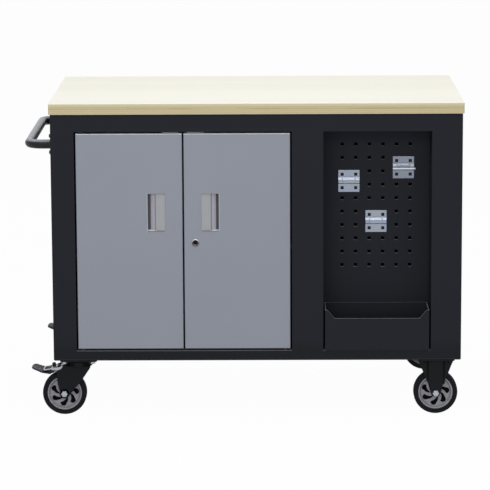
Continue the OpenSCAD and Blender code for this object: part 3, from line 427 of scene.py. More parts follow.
class Value:
    """A socket's value in a material. Arithmetic on it adds Math nodes."""

    __add__ = __radd__ = arithmetic("ADD")
    __sub__, __rsub__ = arithmetic("SUBTRACT"), arithmetic("SUBTRACT", turned=True)
    __mul__ = __rmul__ = arithmetic("MULTIPLY")
    __truediv__ = arithmetic("DIVIDE")
    __gt__, __lt__ = arithmetic("GREATER_THAN"), arithmetic("LESS_THAN")

    def __init__(self, finish, socket):
        self.finish, self.socket = finish, socket

    def maths(self, operation, first, second):
        """A Math node on two values."""
        return self.finish.add("ShaderNodeMath", {"operation": operation}, {0: first, 1: second})[0]

    def between(self, low, high):
        """0 below low, 1 above high, and a smooth step from one to the other."""
        inputs = {0: self, 1: low, 2: high, 3: 0.0, 4: 1.0}
        return self.finish.add("ShaderNodeMapRange", {"interpolation_type": "SMOOTHSTEP"}, inputs)[0]

    def wrapped(self, period):
        """The remainder after whole periods."""
        return self.maths("FLOORED_MODULO", self, period)


class Finish:
    """A material: a Principled shader and the nodes that feed it."""

    def __init__(self, name, **constants):
        self.material = bpy.data.materials.new(name)
        self.material.use_nodes = True
        self.tree = self.material.node_tree
        self.shader = next(n for n in self.tree.nodes if n.type == "BSDF_PRINCIPLED")
        for key, value in constants.items():
            self.shader.inputs[key.replace("_", " ")].default_value = value
        self.place = self.add("ShaderNodeTexCoord")[3]

    def add(self, kind, settings=None, inputs=None):
        """Adds a node, sets its settings, then fills its sockets with values or links, and returns its outputs."""
        node = self.tree.nodes.new(kind)
        for key, value in (settings or {}).items():
            setattr(node, key, value)
        for key, value in (inputs or {}).items():
            self.put(node.inputs[key], value)
        return [Value(self, output) for output in node.outputs]

    def put(self, socket, value):
        """Links a Value to a socket, or sets the socket."""
        if isinstance(value, Value):
            self.tree.links.new(value.socket, socket)
        else:
            socket.default_value = (*value, 1.0) if socket.type == "RGBA" and len(value) == 3 else value

    def mix(self, factor, first, second, blend="MIX"):
        """Two colours mixed."""
        settings = {"data_type": "RGBA", "blend_type": blend}
        return self.add("ShaderNodeMix", settings, {0: factor, 6: first, 7: second})[2]

    def most(self, first, second):
        """The larger of two values."""
        return self.add("ShaderNodeMath", {"operation": "MAXIMUM"}, {0: first, 1: second})[0]

    def scaled(self, scale, at=(0.0, 0.0, 0.0)):
        """Object coordinates times a scale on each axis."""
        return self.add("ShaderNodeMapping", None, {"Vector": self.place, "Scale": scale, "Location": at})[0]

    def axis(self, index):
        """One of the object coordinates."""
        return self.add("ShaderNodeSeparateXYZ", None, {0: self.place})[index]

    def facing(self, index):
        """One part of the surface's normal."""
        return self.add("ShaderNodeSeparateXYZ", None, {0: self.add("ShaderNodeNewGeometry")[1]})[index]

    def noise(self, scale, detail=2.0, roughness=0.5, vector=None, distortion=0.0):
        """Noise between 0 and 1 at so many waves to the metre."""
        inputs = {"Scale": scale, "Detail": detail, "Roughness": roughness, "Distortion": distortion}
        return self.add("ShaderNodeTexNoise", None, {"Vector": vector or self.place, **inputs})[0]

    def shade(self, colour, amount):
        """A colour times a value."""
        grey = self.add("ShaderNodeCombineColor", None, {0: amount, 1: amount, 2: amount})[0]
        return self.mix(1.0, colour, grey, "MULTIPLY")

    def bump(self, height, distance, strength=1.0):
        """Bump of the given depth in metres. Returns the material."""
        inputs = {"Strength": strength, "Distance": distance, "Height": height}
        return self.set(Normal=self.add("ShaderNodeBump", None, inputs)[0])

    def set(self, **values):
        """Feeds the Principled shader. Returns the material."""
        for key, value in values.items():
            self.put(self.shader.inputs[key.replace("_", " ")], value)
        return self.material


_finishes = {}


def finish(name):
    """The material of that name, made when it is first asked for."""
    if name not in _finishes:
        _finishes[name] = FINISHES[name]()
    return _finishes[name]


def tinted(colour, red, green, blue, more=0.0):
    """A colour whose parts are multiplied by three factors, and raised by the same small amount."""
    return tuple(part * factor + more for part, factor in zip(colour, (red, green, blue)))


def powder_coat(name, colour, roughness, grain, texture, specular, paler_on_top, foot_shade=0.0):
    """Powder coat: a fine pebbled bump, grain in the colour, slow changes of tone over the sheet, and a painted
    highlight: a paler colour on what faces up, where light falls from above. foot_shade is painted shade: it
    darkens the lowest part of the body by that share."""
    f = Finish(name, Specular_IOR_Level=specular)
    # painted shade: the body is darker by foot_shade up to 27 mm above its base, fading out by 60 mm
    foot = 1.0 - f.axis(2).between(BASE_Z + 27 * MM, BASE_Z + 60 * MM)
    fine = f.noise(grain, 2.0, 0.6)
    pebbles = f.noise(grain * 0.42, 1.0, 0.5)
    cloud = f.noise(3.1, 3.0, 0.55)
    smear = f.noise(9.0, 4.0, 0.6, f.scaled((1.0, 1.0, 0.35)))
    tone = (0.86 + 0.16 * fine + 0.07 * cloud + 0.05 * smear) * (1.0 - foot_shade * foot)
    f.set(
        # painted highlight: what faces up takes the paler colour
        Base_Color=f.mix(f.facing(2).between(0.12, 0.6), f.shade(colour, tone), paler_on_top),
        Roughness=roughness - 0.05 + 0.1 * pebbles + 0.06 * (smear - 0.5),
    )
    return f.bump(fine * 0.5 + pebbles, texture, 0.55)


def black_coat(name, paler_on_top, foot_shade=0.0):
    """The body's powder coat. Each sheet has its own paler colour on what faces up, a painted highlight."""
    return powder_coat(name, colours().body, 0.56, 1500.0, 0.00006, 0.14, paler_on_top, foot_shade)


def handle_coat():
    """Semi-gloss paint with a light orange peel, and a painted highlight: pale on top, where light falls from above.
    """
    f = Finish("semi-gloss black paint", Specular_IOR_Level=0.2, Coat_Roughness=0.25)
    peel, cloud = f.noise(420.0, 2.0, 0.5), f.noise(14.0, 3.0, 0.6)
    # painted highlight: what faces up turns pale
    paler_top_share = f.facing(2).between(0.42, 0.8)
    f.set(
        Base_Color=f.mix(0.8 * paler_top_share, f.shade(colours().handle, 0.85 + 0.3 * cloud), (0.36, 0.37, 0.41)),
        Roughness=0.32 + 0.1 * cloud + 0.05 * peel,
        Coat_Weight=0.12 * cloud,
    )
    return f.bump(peel, 0.00005, 0.5)


def fork_coat():
    """Black coat over pressed steel: slightly wavy, with duller patches, and a painted dark reflection that makes
    walls facing sideways nearly black."""
    f = Finish("black electro coat", Specular_IOR_Level=0.13)
    wave, fine, patch = f.noise(55.0, 2.0, 0.5), f.noise(900.0, 2.0, 0.5), f.noise(30.0, 4.0, 0.6)
    across = f.facing(0)
    # painted dark reflection: walls that face sideways are made nearly black
    wall = (across * across).between(0.04, 0.2)
    f.set(
        Base_Color=f.shade(colours().fork, (0.8 + 0.3 * patch + 0.1 * fine) * (1.0 - 0.93 * wall)),
        Roughness=0.42 + 0.16 * patch + 0.2 * wall,
    )
    return f.bump(wave + 0.25 * fine, 0.00008, 0.5)


def zinc_coat(name, zinc, metallic, roughness):
    """Zinc plate: a grey metal with a faint crystalline mottle that drifts from blue to straw, and fine
    rolling lines."""
    f = Finish(name, Metallic=metallic, Specular_IOR_Level=0.5)
    crystals = {"Vector": f.place, "Scale": 420.0, "Randomness": 1.0}
    mottle = f.add("ShaderNodeTexVoronoi", {"feature": "F1"}, crystals)[0]
    drift, lines = f.noise(36.0, 3.0, 0.6), f.noise(60.0, 3.0, 0.7, f.scaled((1.0, 8.0, 22.0)))
    tone = 0.84 + 0.2 * lines + 0.12 * mottle
    f.set(
        Base_Color=f.shade(f.mix(drift.between(0.42, 0.7), tuple(zinc), tinted(zinc, 1.06, 1.0, 0.9)), tone),
        Roughness=roughness + 0.1 * lines + 0.06 * drift,
    )
    return f.bump(lines + 0.5 * mottle, 0.00002, 0.5)


def pull_satin():
    """Satin metal brushed from top to bottom, with painted shade along the crease, painted highlights on the steep
    facet and on the wall below it, and painted shade, dull black, on the finger slot's floor. The thin rim that
    stands proud has the door's colour, with a painted highlight beside the slot."""
    f = Finish("satin metal", Specular_IOR_Level=0.4)
    face = float(corners("left_door_skin")[0][1])
    brush = f.noise(520.0, 3.0, 0.7, f.scaled((1.0, 1.0, 0.03)))
    cloud = f.noise(25.0, 2.0, 0.5)
    x, y, up = f.axis(0), f.axis(1), f.facing(2)
    far_left, far_right = float(corners("left_pull")[0][0]), float(corners("right_pull")[1][0])
    slot_side_highlight = f.most(x < far_left + 2.2 * MM, x > far_right - 2.2 * MM)
    # painted shade: the finger slot's floor, deeper than about 14 mm, turns near black
    deep = y.between(face + 13.9 * MM, face + 14.4 * MM)
    proud = 1.0 - y.between(face - 0.5 * MM, face + 0.2 * MM)
    # painted highlight on the steep facet, and painted shade along the crease before it
    inner = y.between(face + 7.9 * MM, face + 8.6 * MM)
    crease_shade = y.between(face + 6.9 * MM, face + 7.4 * MM) * (1.0 - inner)
    satin = f.shade(colours().pull, (0.82 + 0.14 * brush + 0.08 * cloud) * (1.0 - 0.45 * crease_shade))
    satin = f.mix(inner, satin, (0.44, 0.43, 0.50))
    satin = f.mix(deep, satin, (0.055, 0.056, 0.062))
    # painted light on what faces up: dark near the face, near white deeper in
    end_wall_highlight = f.mix(y.between(face + 5 * MM, face + 8 * MM), (0.16, 0.16, 0.17), (0.95, 0.95, 0.97))
    satin = f.mix(up.between(0.25, 0.6), satin, end_wall_highlight)
    # painted highlight: the rim beside the slot is paler than the door
    satin = f.mix(proud, satin, f.mix(slot_side_highlight, tuple(colours().door), (0.46, 0.47, 0.52)))
    f.set(
        Base_Color=satin,
        Roughness=0.36 + 0.16 * brush + 0.15 * deep,
        Metallic=0.3 * (1.0 - f.most(deep, proud)),
    )
    return f.bump(brush, 0.00001, 0.5)


def lock_chrome():
    """Chrome with faint turning marks and a few dull specks. Its flat front and its inner ring carry a painted dark
    reflection, and what faces down is darker with painted shade."""
    f = Finish("chrome", Metallic=0.9)
    specks, cloud = f.noise(2600.0, 2.0, 0.6), f.noise(160.0, 2.0, 0.5)
    front, up = f.facing(1), f.facing(2)
    level = (front * front).between(0.82, 0.97)
    axis, inner_r = AXES["lock_turn"], 7.2 * MM
    x, z = f.axis(0) - float(axis[0]), f.axis(2) - float(axis[2])
    outer = (x * x + z * z) > inner_r**2
    # painted dark reflection on the flat front and the inner ring, painted shade on what faces down
    tone = (0.92 + 0.12 * cloud) * (1.0 - 0.88 * level) * (0.2 + 0.8 * up.between(-0.1, 0.45))
    f.set(
        Base_Color=f.shade(colours().chrome, tone * (0.45 + 0.55 * outer)),
        Roughness=0.16 + 0.14 * specks.between(0.55, 0.8) + 0.05 * cloud,
    )
    return f.bump(specks, 0.000004, 0.4)


def plug_metal():
    """The lock's plug: a dark pressed face round its keyhole, worn in small patches."""
    f = Finish("dark plug", Specular_IOR_Level=0.0)
    wear, fine = f.noise(420.0, 3.0, 0.6), f.noise(2200.0, 2.0, 0.5)
    f.set(
        Base_Color=f.mix(wear.between(0.45, 0.75), (0.012, 0.012, 0.014), (0.04, 0.04, 0.045)),
        Roughness=0.5 + 0.2 * fine,
    )
    return f.bump(fine, 0.000006, 0.4)


def birch_ply():
    """Birch plywood. The faces show pale veneer with long fine grain, cathedral figure and darker flecks. The
    edges show plies by height: long-grain and end-grain layers take turns, with a thin dark glue line between
    them, a darker heart and paler outer plies."""
    f = Finish("birch plywood", Specular_IOR_Level=0.42, Coat_Roughness=0.3)
    low, high = corners("worktop")
    x, z = f.axis(0), f.axis(2)
    up = f.facing(2)
    face = (up * up).between(0.03, 0.3)
    fibre = f.noise(34.0, 6.0, 0.65, f.scaled((0.5, 9.0, 9.0)), 0.3)
    figure = f.noise(3.0, 3.0, 0.55, f.scaled((0.55, 3.2, 3.2)), 1.6)
    rings = (figure * 13.0).wrapped(1.0)
    flame = rings.between(0.0, 0.55) - rings.between(0.8, 1.0)
    fleck = f.noise(210.0, 2.0, 0.6, f.scaled((0.16, 1.0, 1.0))).between(0.6, 0.74)
    strip = f.noise(1.0, 0.0, 0.5, f.scaled((0.2, 4.2, 1.0))).between(0.46, 0.54)
    veneer, edge = colours().veneer, colours().ply
    top = 0.2 * flame + 0.35 * strip + 0.3 * fibre - 0.1
    top = f.mix(top, tuple(veneer), tinted(veneer, 0.955, 0.925, 0.86))
    top = f.mix(0.2 * fleck, top, tinted(veneer, 0.84, 0.77, 0.62))
    plies = 11
    depth = (z - float(low[2])) / (float(high[2] - low[2]) / plies)
    wander = f.noise(5.0, 2.0, 0.5, f.scaled((1.0, 1.0, 0.2)))
    layer = depth + 0.35 * (wander - 0.5)
    within = layer.wrapped(1.0)
    end_grain = (layer * 0.5).wrapped(1.0) > 0.5
    glue = 1.0 - within.between(0.0, 0.13) * (1.0 - within.between(0.87, 1.0))
    pores = f.noise(950.0, 2.0, 0.6, f.scaled((1.0, 1.0, 0.5)))
    long_grain = f.noise(70.0, 4.0, 0.65, f.scaled((0.7, 0.7, 9.0)))
    light = f.shade(tinted(edge, 1.06, 1.07, 1.12), 0.86 + 0.24 * long_grain)
    dark = f.shade(tinted(edge, 0.97, 0.96, 0.95), 0.78 + 0.32 * pores + 0.12 * long_grain)
    heart = f.noise(3.4, 2.0, 0.5, f.scaled((1.0, 1.0, 0.0))).between(0.38, 0.6)
    heart = depth.between(5.0, 5.5) * (1.0 - depth.between(6.2, 6.7)) * heart
    skin, foot = depth.between(plies - 3.2, plies - 1.6), 1.0 - depth.between(0.5, 1.0)
    side = f.mix(end_grain, light, dark)
    side = f.mix(0.3 * glue, side, tinted(edge, 0.6, 0.54, 0.45))
    side = f.mix(0.65 * heart, side, tinted(edge, 0.66, 0.60, 0.50))
    side = f.mix(0.8 * skin, side, tinted(edge, 1.12, 1.22, 1.42))
    side = f.mix(0.6 * foot, side, tinted(edge, 1.15, 1.08, 1.02))
    f.set(
        Base_Color=f.mix(face, side, top),
        Roughness=0.62 - 0.2 * face + 0.12 * fibre + 0.04 * (x * 7.0).wrapped(1.0),
        Coat_Weight=0.14 * face,
    )
    return f.bump(0.5 * fibre * face + (pores + 1.4 * (1.0 - glue)) * (1.0 - face), 0.00018, 0.4)


def tyre_rubber():
    """Rubber: nearly black, dull, with a fine moulded grain and a dusty tread."""
    f = Finish("black rubber", Specular_IOR_Level=0.13)
    grain, dust = f.noise(1300.0, 2.0, 0.6), f.noise(26.0, 4.0, 0.65)
    tyre = colours().tyre
    rubber, dusty = f.shade(tyre, 0.85 + 0.3 * grain), tinted(tyre, 1.7, 1.7, 1.7, 0.003)
    f.set(Base_Color=f.mix(0.45 * dust.between(0.45, 0.8), rubber, dusty), Roughness=0.62 + 0.2 * grain)
    return f.bump(grain, 0.00007, 0.5)


def rim_nylon():
    """Moulded nylon: grey with a faint marbling of filler and a fine matt grain."""
    f = Finish("grey nylon", Specular_IOR_Level=0.45)
    marble, grain = f.noise(60.0, 5.0, 0.65, None, 1.2), f.noise(1500.0, 2.0, 0.5)
    rim = colours().rim
    nylon, paler = f.shade(rim, 0.9 + 0.2 * grain), tinted(rim, 1.3, 1.3, 1.26)
    f.set(
        Base_Color=f.mix(marble.between(0.35, 0.75), nylon, paler),
        Roughness=0.42 + 0.14 * marble,
    )
    return f.bump(grain, 0.00003, 0.5)


def web_in_painted_shade():
    """The disc inside a wheel: black nylon with a faint grain, made darker still as painted shade of the slots."""
    f = Finish("black nylon", Specular_IOR_Level=0.04)
    grain = f.noise(900.0, 2.0, 0.5)
    # painted shade: the disc's near-black colour stands in for the slots' shade
    f.set(Base_Color=f.shade((0.0024, 0.0024, 0.0030), 0.7 + 0.6 * grain), Roughness=0.6 + 0.2 * grain)
    return f.material


def pedal_plastic():
    """Dark grey plastic with a coarse moulded grain, paler in patches on what faces up. Painted shade of the lever
    makes it nearly black below the lever and in a band above its underside, which is the higher of two lines in
    u, the distance from the swivel axis."""
    f = Finish("dark grey plastic", Specular_IOR_Level=0.25)
    grain, paler_on_top = f.noise(700.0, 3.0, 0.6), f.noise(90.0, 3.0, 0.6)
    pedal, u = colours().pedal, float(AXES["front_left_swivel_turn"][0]) - f.axis(0)
    # painted shade: the pad is nearly black under the lever and in a band above its underside
    underside = f.most((u - 106 * MM) * 0.43 + 124 * MM, (u - 82 * MM) * 0.22 + 118.5 * MM)
    low = 1.0 - (f.axis(2) - underside).between(3.5 * MM, 6 * MM)
    lever_shade = f.most(low, 1.0 - u.between(98 * MM, 102 * MM))
    plastic = f.mix(lever_shade, f.shade(pedal, 0.75 + 0.5 * grain), (0.014, 0.0145, 0.017))
    paler_top_share = 0.6 * paler_on_top.between(0.5, 0.75) * f.facing(2).between(0.3, 0.9)
    f.set(
        Base_Color=f.mix(paler_top_share, plastic, (0.18, 0.185, 0.20)),
        Roughness=0.5 + 0.2 * grain,
    )
    return f.bump(grain, 0.00015, 0.6)


def catch_plastic():
    """White plastic with a faint moulding flow."""
    f = Finish("white plastic", Specular_IOR_Level=0.45)
    flow, grain = f.noise(40.0, 3.0, 0.5, None, 0.8), f.noise(1400.0, 1.0, 0.5)
    f.set(Base_Color=f.shade(colours().catch, 0.93 + 0.08 * flow), Roughness=0.36 + 0.1 * grain)
    return f.bump(grain, 0.00002, 0.4)


def black_oxide():
    """Black oxide screws: a dark brownish sheen, paler in patches."""
    f = Finish("black oxide", Metallic=0.55, Specular_IOR_Level=0.5)
    patch, fine = f.noise(160.0, 3.0, 0.6), f.noise(1800.0, 2.0, 0.5)
    f.set(
        Base_Color=f.mix(patch.between(0.4, 0.7), (0.030, 0.029, 0.031), (0.062, 0.057, 0.052)),
        Roughness=0.34 + 0.2 * fine,
    )
    return f.bump(fine, 0.00002, 0.4)


FINISHES = {
    # painted highlights: each black coat's second colour is the paler one on what faces up; it lights the body's
    # upward folds, the bin's rolled hem and the pegboard holes' lower edges. The body's 0.27 is painted shade at its
    # foot.
    "body": lambda: black_coat("black powder coat", (0.085, 0.090, 0.100), 0.27),
    "bin": lambda: black_coat("rubbed powder coat", (0.15, 0.155, 0.17)),
    "peg": lambda: black_coat("punched powder coat", (0.12, 0.125, 0.14)),
    # painted highlight: the doors' paler colour on what faces up lights their top folds
    "door": lambda: powder_coat(
        "silver grey powder coat", colours().door, 0.55, 1100.0, 0.00003, 0.25, (0.78, 0.80, 0.88)
    ),
    "handle": handle_coat,
    "fork": fork_coat,
    "zinc": lambda: zinc_coat("zinc plate", colours().zinc, 0.86, 0.34),
    "hook": lambda: zinc_coat("satin zinc", colours().hook, 0.8, 0.15),
    # painted shade: the hook with the bar has the same zinc made darker
    "dull_hook": lambda: zinc_coat("dull satin zinc", tinted(colours().hook, 0.74, 0.74, 0.74), 0.8, 0.17),
    # painted highlight: the rod's zinc is a near-white copy, so that it reads as lit
    "rod": lambda: zinc_coat("bright rod zinc", (0.86, 0.88, 0.93), 0.4, 0.4),
    "pull": pull_satin,
    "chrome": lock_chrome,
    "plug": plug_metal,
    "ply": birch_ply,
    "tyre": tyre_rubber,
    "rim": rim_nylon,
    "web": web_in_painted_shade,
    "pedal": pedal_plastic,
    "catch": catch_plastic,
    "oxide": black_oxide,
}


def sizes():
    """The scene's sizes."""
    return bpy.context.scene.cabinet_sizes


def colours():
    """The scene's colours."""
    return bpy.context.scene.cabinet_colours


# ------------------------------------------------------------------ body


class CABINET_OT_worktop(bpy.types.Operator):
    """Plywood worktop: a slab with slightly rounded edges and corners"""

    bl_idname = "cabinet.worktop"
    bl_label = "Worktop"

    def execute(self, context):
        size, (low, high) = sizes(), corners("worktop")
        middle = (low + high) / 2
        outline = rectangle(high[0] - low[0], high[1] - low[1], size.top_corner_r, 5)
        shape = plate(Shape(), outline, high[2] - low[2], size.top_edge_r, (middle[0], middle[1], low[2]), X, Y, Z)
        piece("plywood_worktop", shape, finish("ply"), "cabinet", ["worktop"])
        return {"FINISHED"}


class CABINET_OT_front_frame(bpy.types.Operator):
    """Stiles and rails: one flush face with folded edges round the two openings"""

    bl_idname = "cabinet.front_frame"
    bl_label = "Stiles and rails"

    def execute(self, context):
        size = sizes()
        r, bend, corner = size.fold_r, size.door_fold_r, size.corner_r
        x_in, x_out = LEFT_X + bend, RIGHT_X - bend
        z_low = BASE_Z + bend
        rows = [z_low, BASE_Z + corner, OPEN_Z0 - r, OPEN_Z1 + r, TOP_Z]
        door, niche = (OPEN_X0, OPEN_X1, OPEN_Z0, OPEN_Z1), (NICHE_X0, NICHE_X1, OPEN_Z0, OPEN_Z1)
        deep, shallow = fold_in(r, FRONT_Y, RETURN_Y), fold_in(r, FRONT_Y, FRONT_Y)
        both = [(door, deep, [1]), (niche, shallow, [3])]
        parts = {
            "left_stile": [(LEFT_X + corner, OPEN_X0 - r), rows, [(door, deep, [3])], -1],
            "right_stile": [(NICHE_X1 + r, RIGHT_X - corner), rows, [(niche, shallow, [1])], 1],
            "centre_stile": [(OPEN_X1 + r, NICHE_X0 - r), rows[2:4], both, 0],
            "top_rail": [(OPEN_X0 - r, NICHE_X1 + r), rows[3:], [(door, deep, [2]), (niche, deep, [2])], 0],
            "bottom_rail": [(OPEN_X0 - r, NICHE_X1 + r), rows[:3], [(door, deep, [0]), (niche, deep, [0])], 0],
        }
        for name, (columns, lines, folds, outer) in parts.items():
            shape = Shape()
            columns = self.divided(columns, name)
            cells(shape, columns, lines, FRONT_Y)
            if outer:
                edge_x, far_x = (x_in, LEFT_X + corner) if outer < 0 else (x_out, RIGHT_X - corner)
                cells(shape, sorted([edge_x, far_x]), lines[1:], FRONT_Y)
                centre = np.array([far_x, BASE_Z + corner])
                a = np.linspace(0, math.pi / 2, 5)
                arc = centre + (corner - bend) * np.stack([outer * np.cos(a), -np.sin(a)], 1)
                flat = np.concatenate([[centre], [[edge_x, centre[1]]], arc[1:-1], [[far_x, z_low]]])
                shape.face(points_at(flat[:, 0], FRONT_Y, flat[:, 1]))
            for rect, profile, sides in folds:
                rims(shape, rect, profile, sides)
            piece(f"{name}_folded", shape, finish("body"), "cabinet", [name], FRONT, SHEET)
        return {"FINISHED"}

    @staticmethod
    def divided(columns, name):
        """The rails' face has a line at each end of an opening, so that its folds join it."""
        if name.endswith("rail"):
            r = sizes().fold_r
            return sorted([*columns, OPEN_X0, OPEN_X1, NICHE_X0, NICHE_X1, OPEN_X1 + r, NICHE_X0 - r])
        return columns


class CABINET_OT_body_shell(bpy.types.Operator):
    """Side panels, bottom and back: sheets folded round the body's long edges"""

    bl_idname = "cabinet.body_shell"
    bl_label = "Body shell"

    def execute(self, context):
        size, coat = sizes(), finish("body")
        bend, corner = size.door_fold_r, size.corner_r
        section, steps = [(LEFT_X, TOP_Z), (LEFT_X, BASE_Z), (RIGHT_X, BASE_Z), (RIGHT_X, TOP_Z)], 6
        outline = round_corners(section, corner, steps, closed=False)
        inward, climb = quarter(bend)
        depth = np.concatenate([FRONT_Y + climb[::-1], BACK_Y - climb])
        rings = grown(outline, -np.concatenate([inward[::-1], inward]))
        grid = points_at(rings[..., 0], depth[:, None], rings[..., 1])
        bend_end = 2 * (steps + 1) - 1
        runs = {
            "left_side_panel": (slice(0, bend_end + 1), -X),
            "bottom_panel": (slice(bend_end, bend_end + 2), -Z),
            "right_side_panel": (slice(bend_end + 1, None), X),
        }
        for name, (run, outward) in runs.items():
            shape = Shape().grid(grid[:, run])
            piece(f"{name}_folded", shape, coat, "cabinet", [name], outward, SHEET)
        back, arc = Shape(), grown(outline, [-bend])[0]
        back.face(points_at(arc[:, 0], BACK_Y, arc[:, 1]))
        flange_x, inner_y = np.array([LEFT_X + SHEET, RIGHT_X - SHEET]), corners("back_panel")[0][1]
        back.grid(points_at(flange_x, np.array([[BACK_Y], [inner_y]]), TOP_Z))
        piece("back_panel_folded", back, coat, "cabinet", ["back_panel"], Y, SHEET)
        for node in ["niche_left_wall", "niche_right_wall", "niche_ceiling", "centre_partition", "shelf"]:
            dress(node, coat)
        dress("hinge_pins", finish("oxide"))
        for node in ["shelf_clips", "worktop_screws"]:
            dress(node, finish("zinc"))
        dress("door_catches", finish("catch"))
        return {"FINISHED"}


class CABINET_OT_pegboard(bpy.types.Operator):
    """Back wall of the niche: sheet steel with square holes whose edges are rounded by the punch and the paint"""

    bl_idname = "cabinet.pegboard"
    bl_label = "Pegboard"

    def execute(self, context):
        size = sizes()
        low, high = corners("pegboard")
        columns, rows, r = 6, 10, size.peg_edge_r
        middle = (NICHE_X0 + NICHE_X1) / 2
        xs = middle + (np.arange(columns) - (columns - 1) / 2) * size.peg_pitch
        zs = np.sort(OPEN_Z1 - size.peg_drop - np.arange(rows) * size.peg_pitch)
        half = size.peg_hole / 2
        edges_x, edges_z = (np.stack([at - half - r, at + half + r], 1).ravel() for at in (xs, zs))
        lines_x, lines_z = np.r_[low[0], edges_x, high[0]], np.r_[low[2], edges_z, high[2]]
        holes = [(1 + 2 * c, 1 + 2 * k) for c in range(columns) for k in range(rows)]
        shape = cells(Shape(), lines_x, lines_z, PEG_Y, holes)
        gx, gz = (a.ravel() for a in np.meshgrid(xs, zs))
        rects = np.stack([gx - half, gx + half, gz - half, gz + half], 1)
        rims(shape, rects, fold_in(r, PEG_Y, high[1], 3))
        piece("pegboard_punched", shape, finish("peg"), "cabinet", ["pegboard"], FRONT)
        return {"FINISHED"}


class CABINET_OT_hooks(bpy.types.Operator):
    """Three zinc hooks: a plate with four square holes and a bulge in three lengths across its middle"""

    bl_idname = "cabinet.hooks"
    bl_label = "Hooks"

    def execute(self, context):
        wide = corners("lower_hook")
        width = wide[1][0] - wide[0][0]
        for name in ["upper_left_hook", "upper_right_hook", "lower_hook"]:
            low, high = corners(name)
            at, bar = (low[0] + width / 2, (low[2] + high[2]) / 2), high[0] - low[0] - width
            # painted shade: the hook with the bar takes a darker copy of the zinc
            coat = finish("dull_hook" if bar > 1 * MM else "hook")
            self.plates(name, *at, width / 2, (high[2] - low[2]) / 2, coat)
            self.bulge(name, *at, width / 2, bar, coat)
        return {"FINISHED"}

    @staticmethod
    def plates(name, cx, cz, half_w, half_h, coat):
        """Two flat plates with two holes each, one above and one below the joint at the bulge's foot."""
        size, front, edge = sizes(), PEG_Y - HOOK_T, 0.5 * MM
        hole, pitch = size.hook_hole / 2, size.peg_pitch / 2
        inward, climb = quarter(edge, 3)
        fold = np.stack([-inward, front + climb], 1)[::-1]
        xs = cx + np.array([-half_w + edge, -pitch - hole, -pitch + hole, pitch - hole, pitch + hole, half_w - edge])
        joint, gap = cz - HOOK_FOOT - 0.6 * MM, 0.7 * MM
        shape = Shape()
        for z0, z1, at in ((cz - half_h, joint - gap, cz - pitch), (joint + gap, cz + half_h, cz + pitch)):
            zs = np.array([z0 + edge, at - hole, at + hole, z1 - edge])
            cells(shape, xs, zs, front, [(1, 1), (3, 1)])
            rims(shape, (cx - half_w, cx + half_w, z0, z1), [*fold, (0, PEG_Y)])
            rects = [(xs[k], xs[k + 1], zs[1], zs[2]) for k in (1, 3)]
            rims(shape, rects, [(0, front), (0, PEG_Y)])
        piece(f"{name}_plates", shape, coat, "cabinet", [name], FRONT)

    @staticmethod
    def bulge(name, cx, cz, half_w, bar, coat):
        """The section rises from the plate by a smooth step taken twice, s = t * t * (3 - 2 t), stays flat and
        turns in round its foot. It is carried along X in three lengths. On the hook with a bar the middle length
        ends higher, and a round rod runs below it."""
        size, front, edge, toe = sizes(), PEG_Y - HOOK_T, 0.4 * MM, 1.5 * MM
        rise, gap = size.bulge, size.bulge_gap / 2
        cuts = np.array([-half_w, -HOOK_SPLIT, HOOK_SPLIT, half_w])
        t = np.linspace(0, 1, 15)
        once = t * t * (3 - 2 * t)
        inward, climb = quarter(toe, 5)
        share = np.array([[1 - edge / rise], [1], [1], [1 - edge / rise]])
        shape = Shape()
        for k in range(3):
            foot = 1.6 * MM if bar > 1 * MM and k == 1 else -HOOK_FOOT
            flat = max(0.0, foot + toe)
            high = rise * (HOOK_BROW - flat) / HOOK_BROW
            out = np.concatenate([once * once * (3 - 2 * once) * high, high - inward, [0]])
            up = np.concatenate([HOOK_BROW - t * (HOOK_BROW - flat), foot + climb, [foot]])
            start, end = cx + cuts[k] + gap * (k > 0), cx + cuts[k + 1] - gap * (k < 2)
            span = np.array([[start], [start + edge], [end - edge], [end]])
            shape.grid(points_at(span, front - share * out, cz + up), around=True, caps=True)
        piece(f"{name}_bulge", shape, coat, "cabinet", (), sharp=50)
        if bar > 1 * MM:
            rod, end = 2.6 * MM, half_w + bar
            profile = [(rod - edge, -half_w), (rod, -half_w + edge), (rod, end - edge), (rod - edge, end)]
            rod_shape = lathe(Shape(), profile, (cx, front - 2 * MM, cz - 3.4 * MM), X, 24)
            piece(f"{name}_rod", rod_shape, finish("rod"), "cabinet", (), sharp=50)


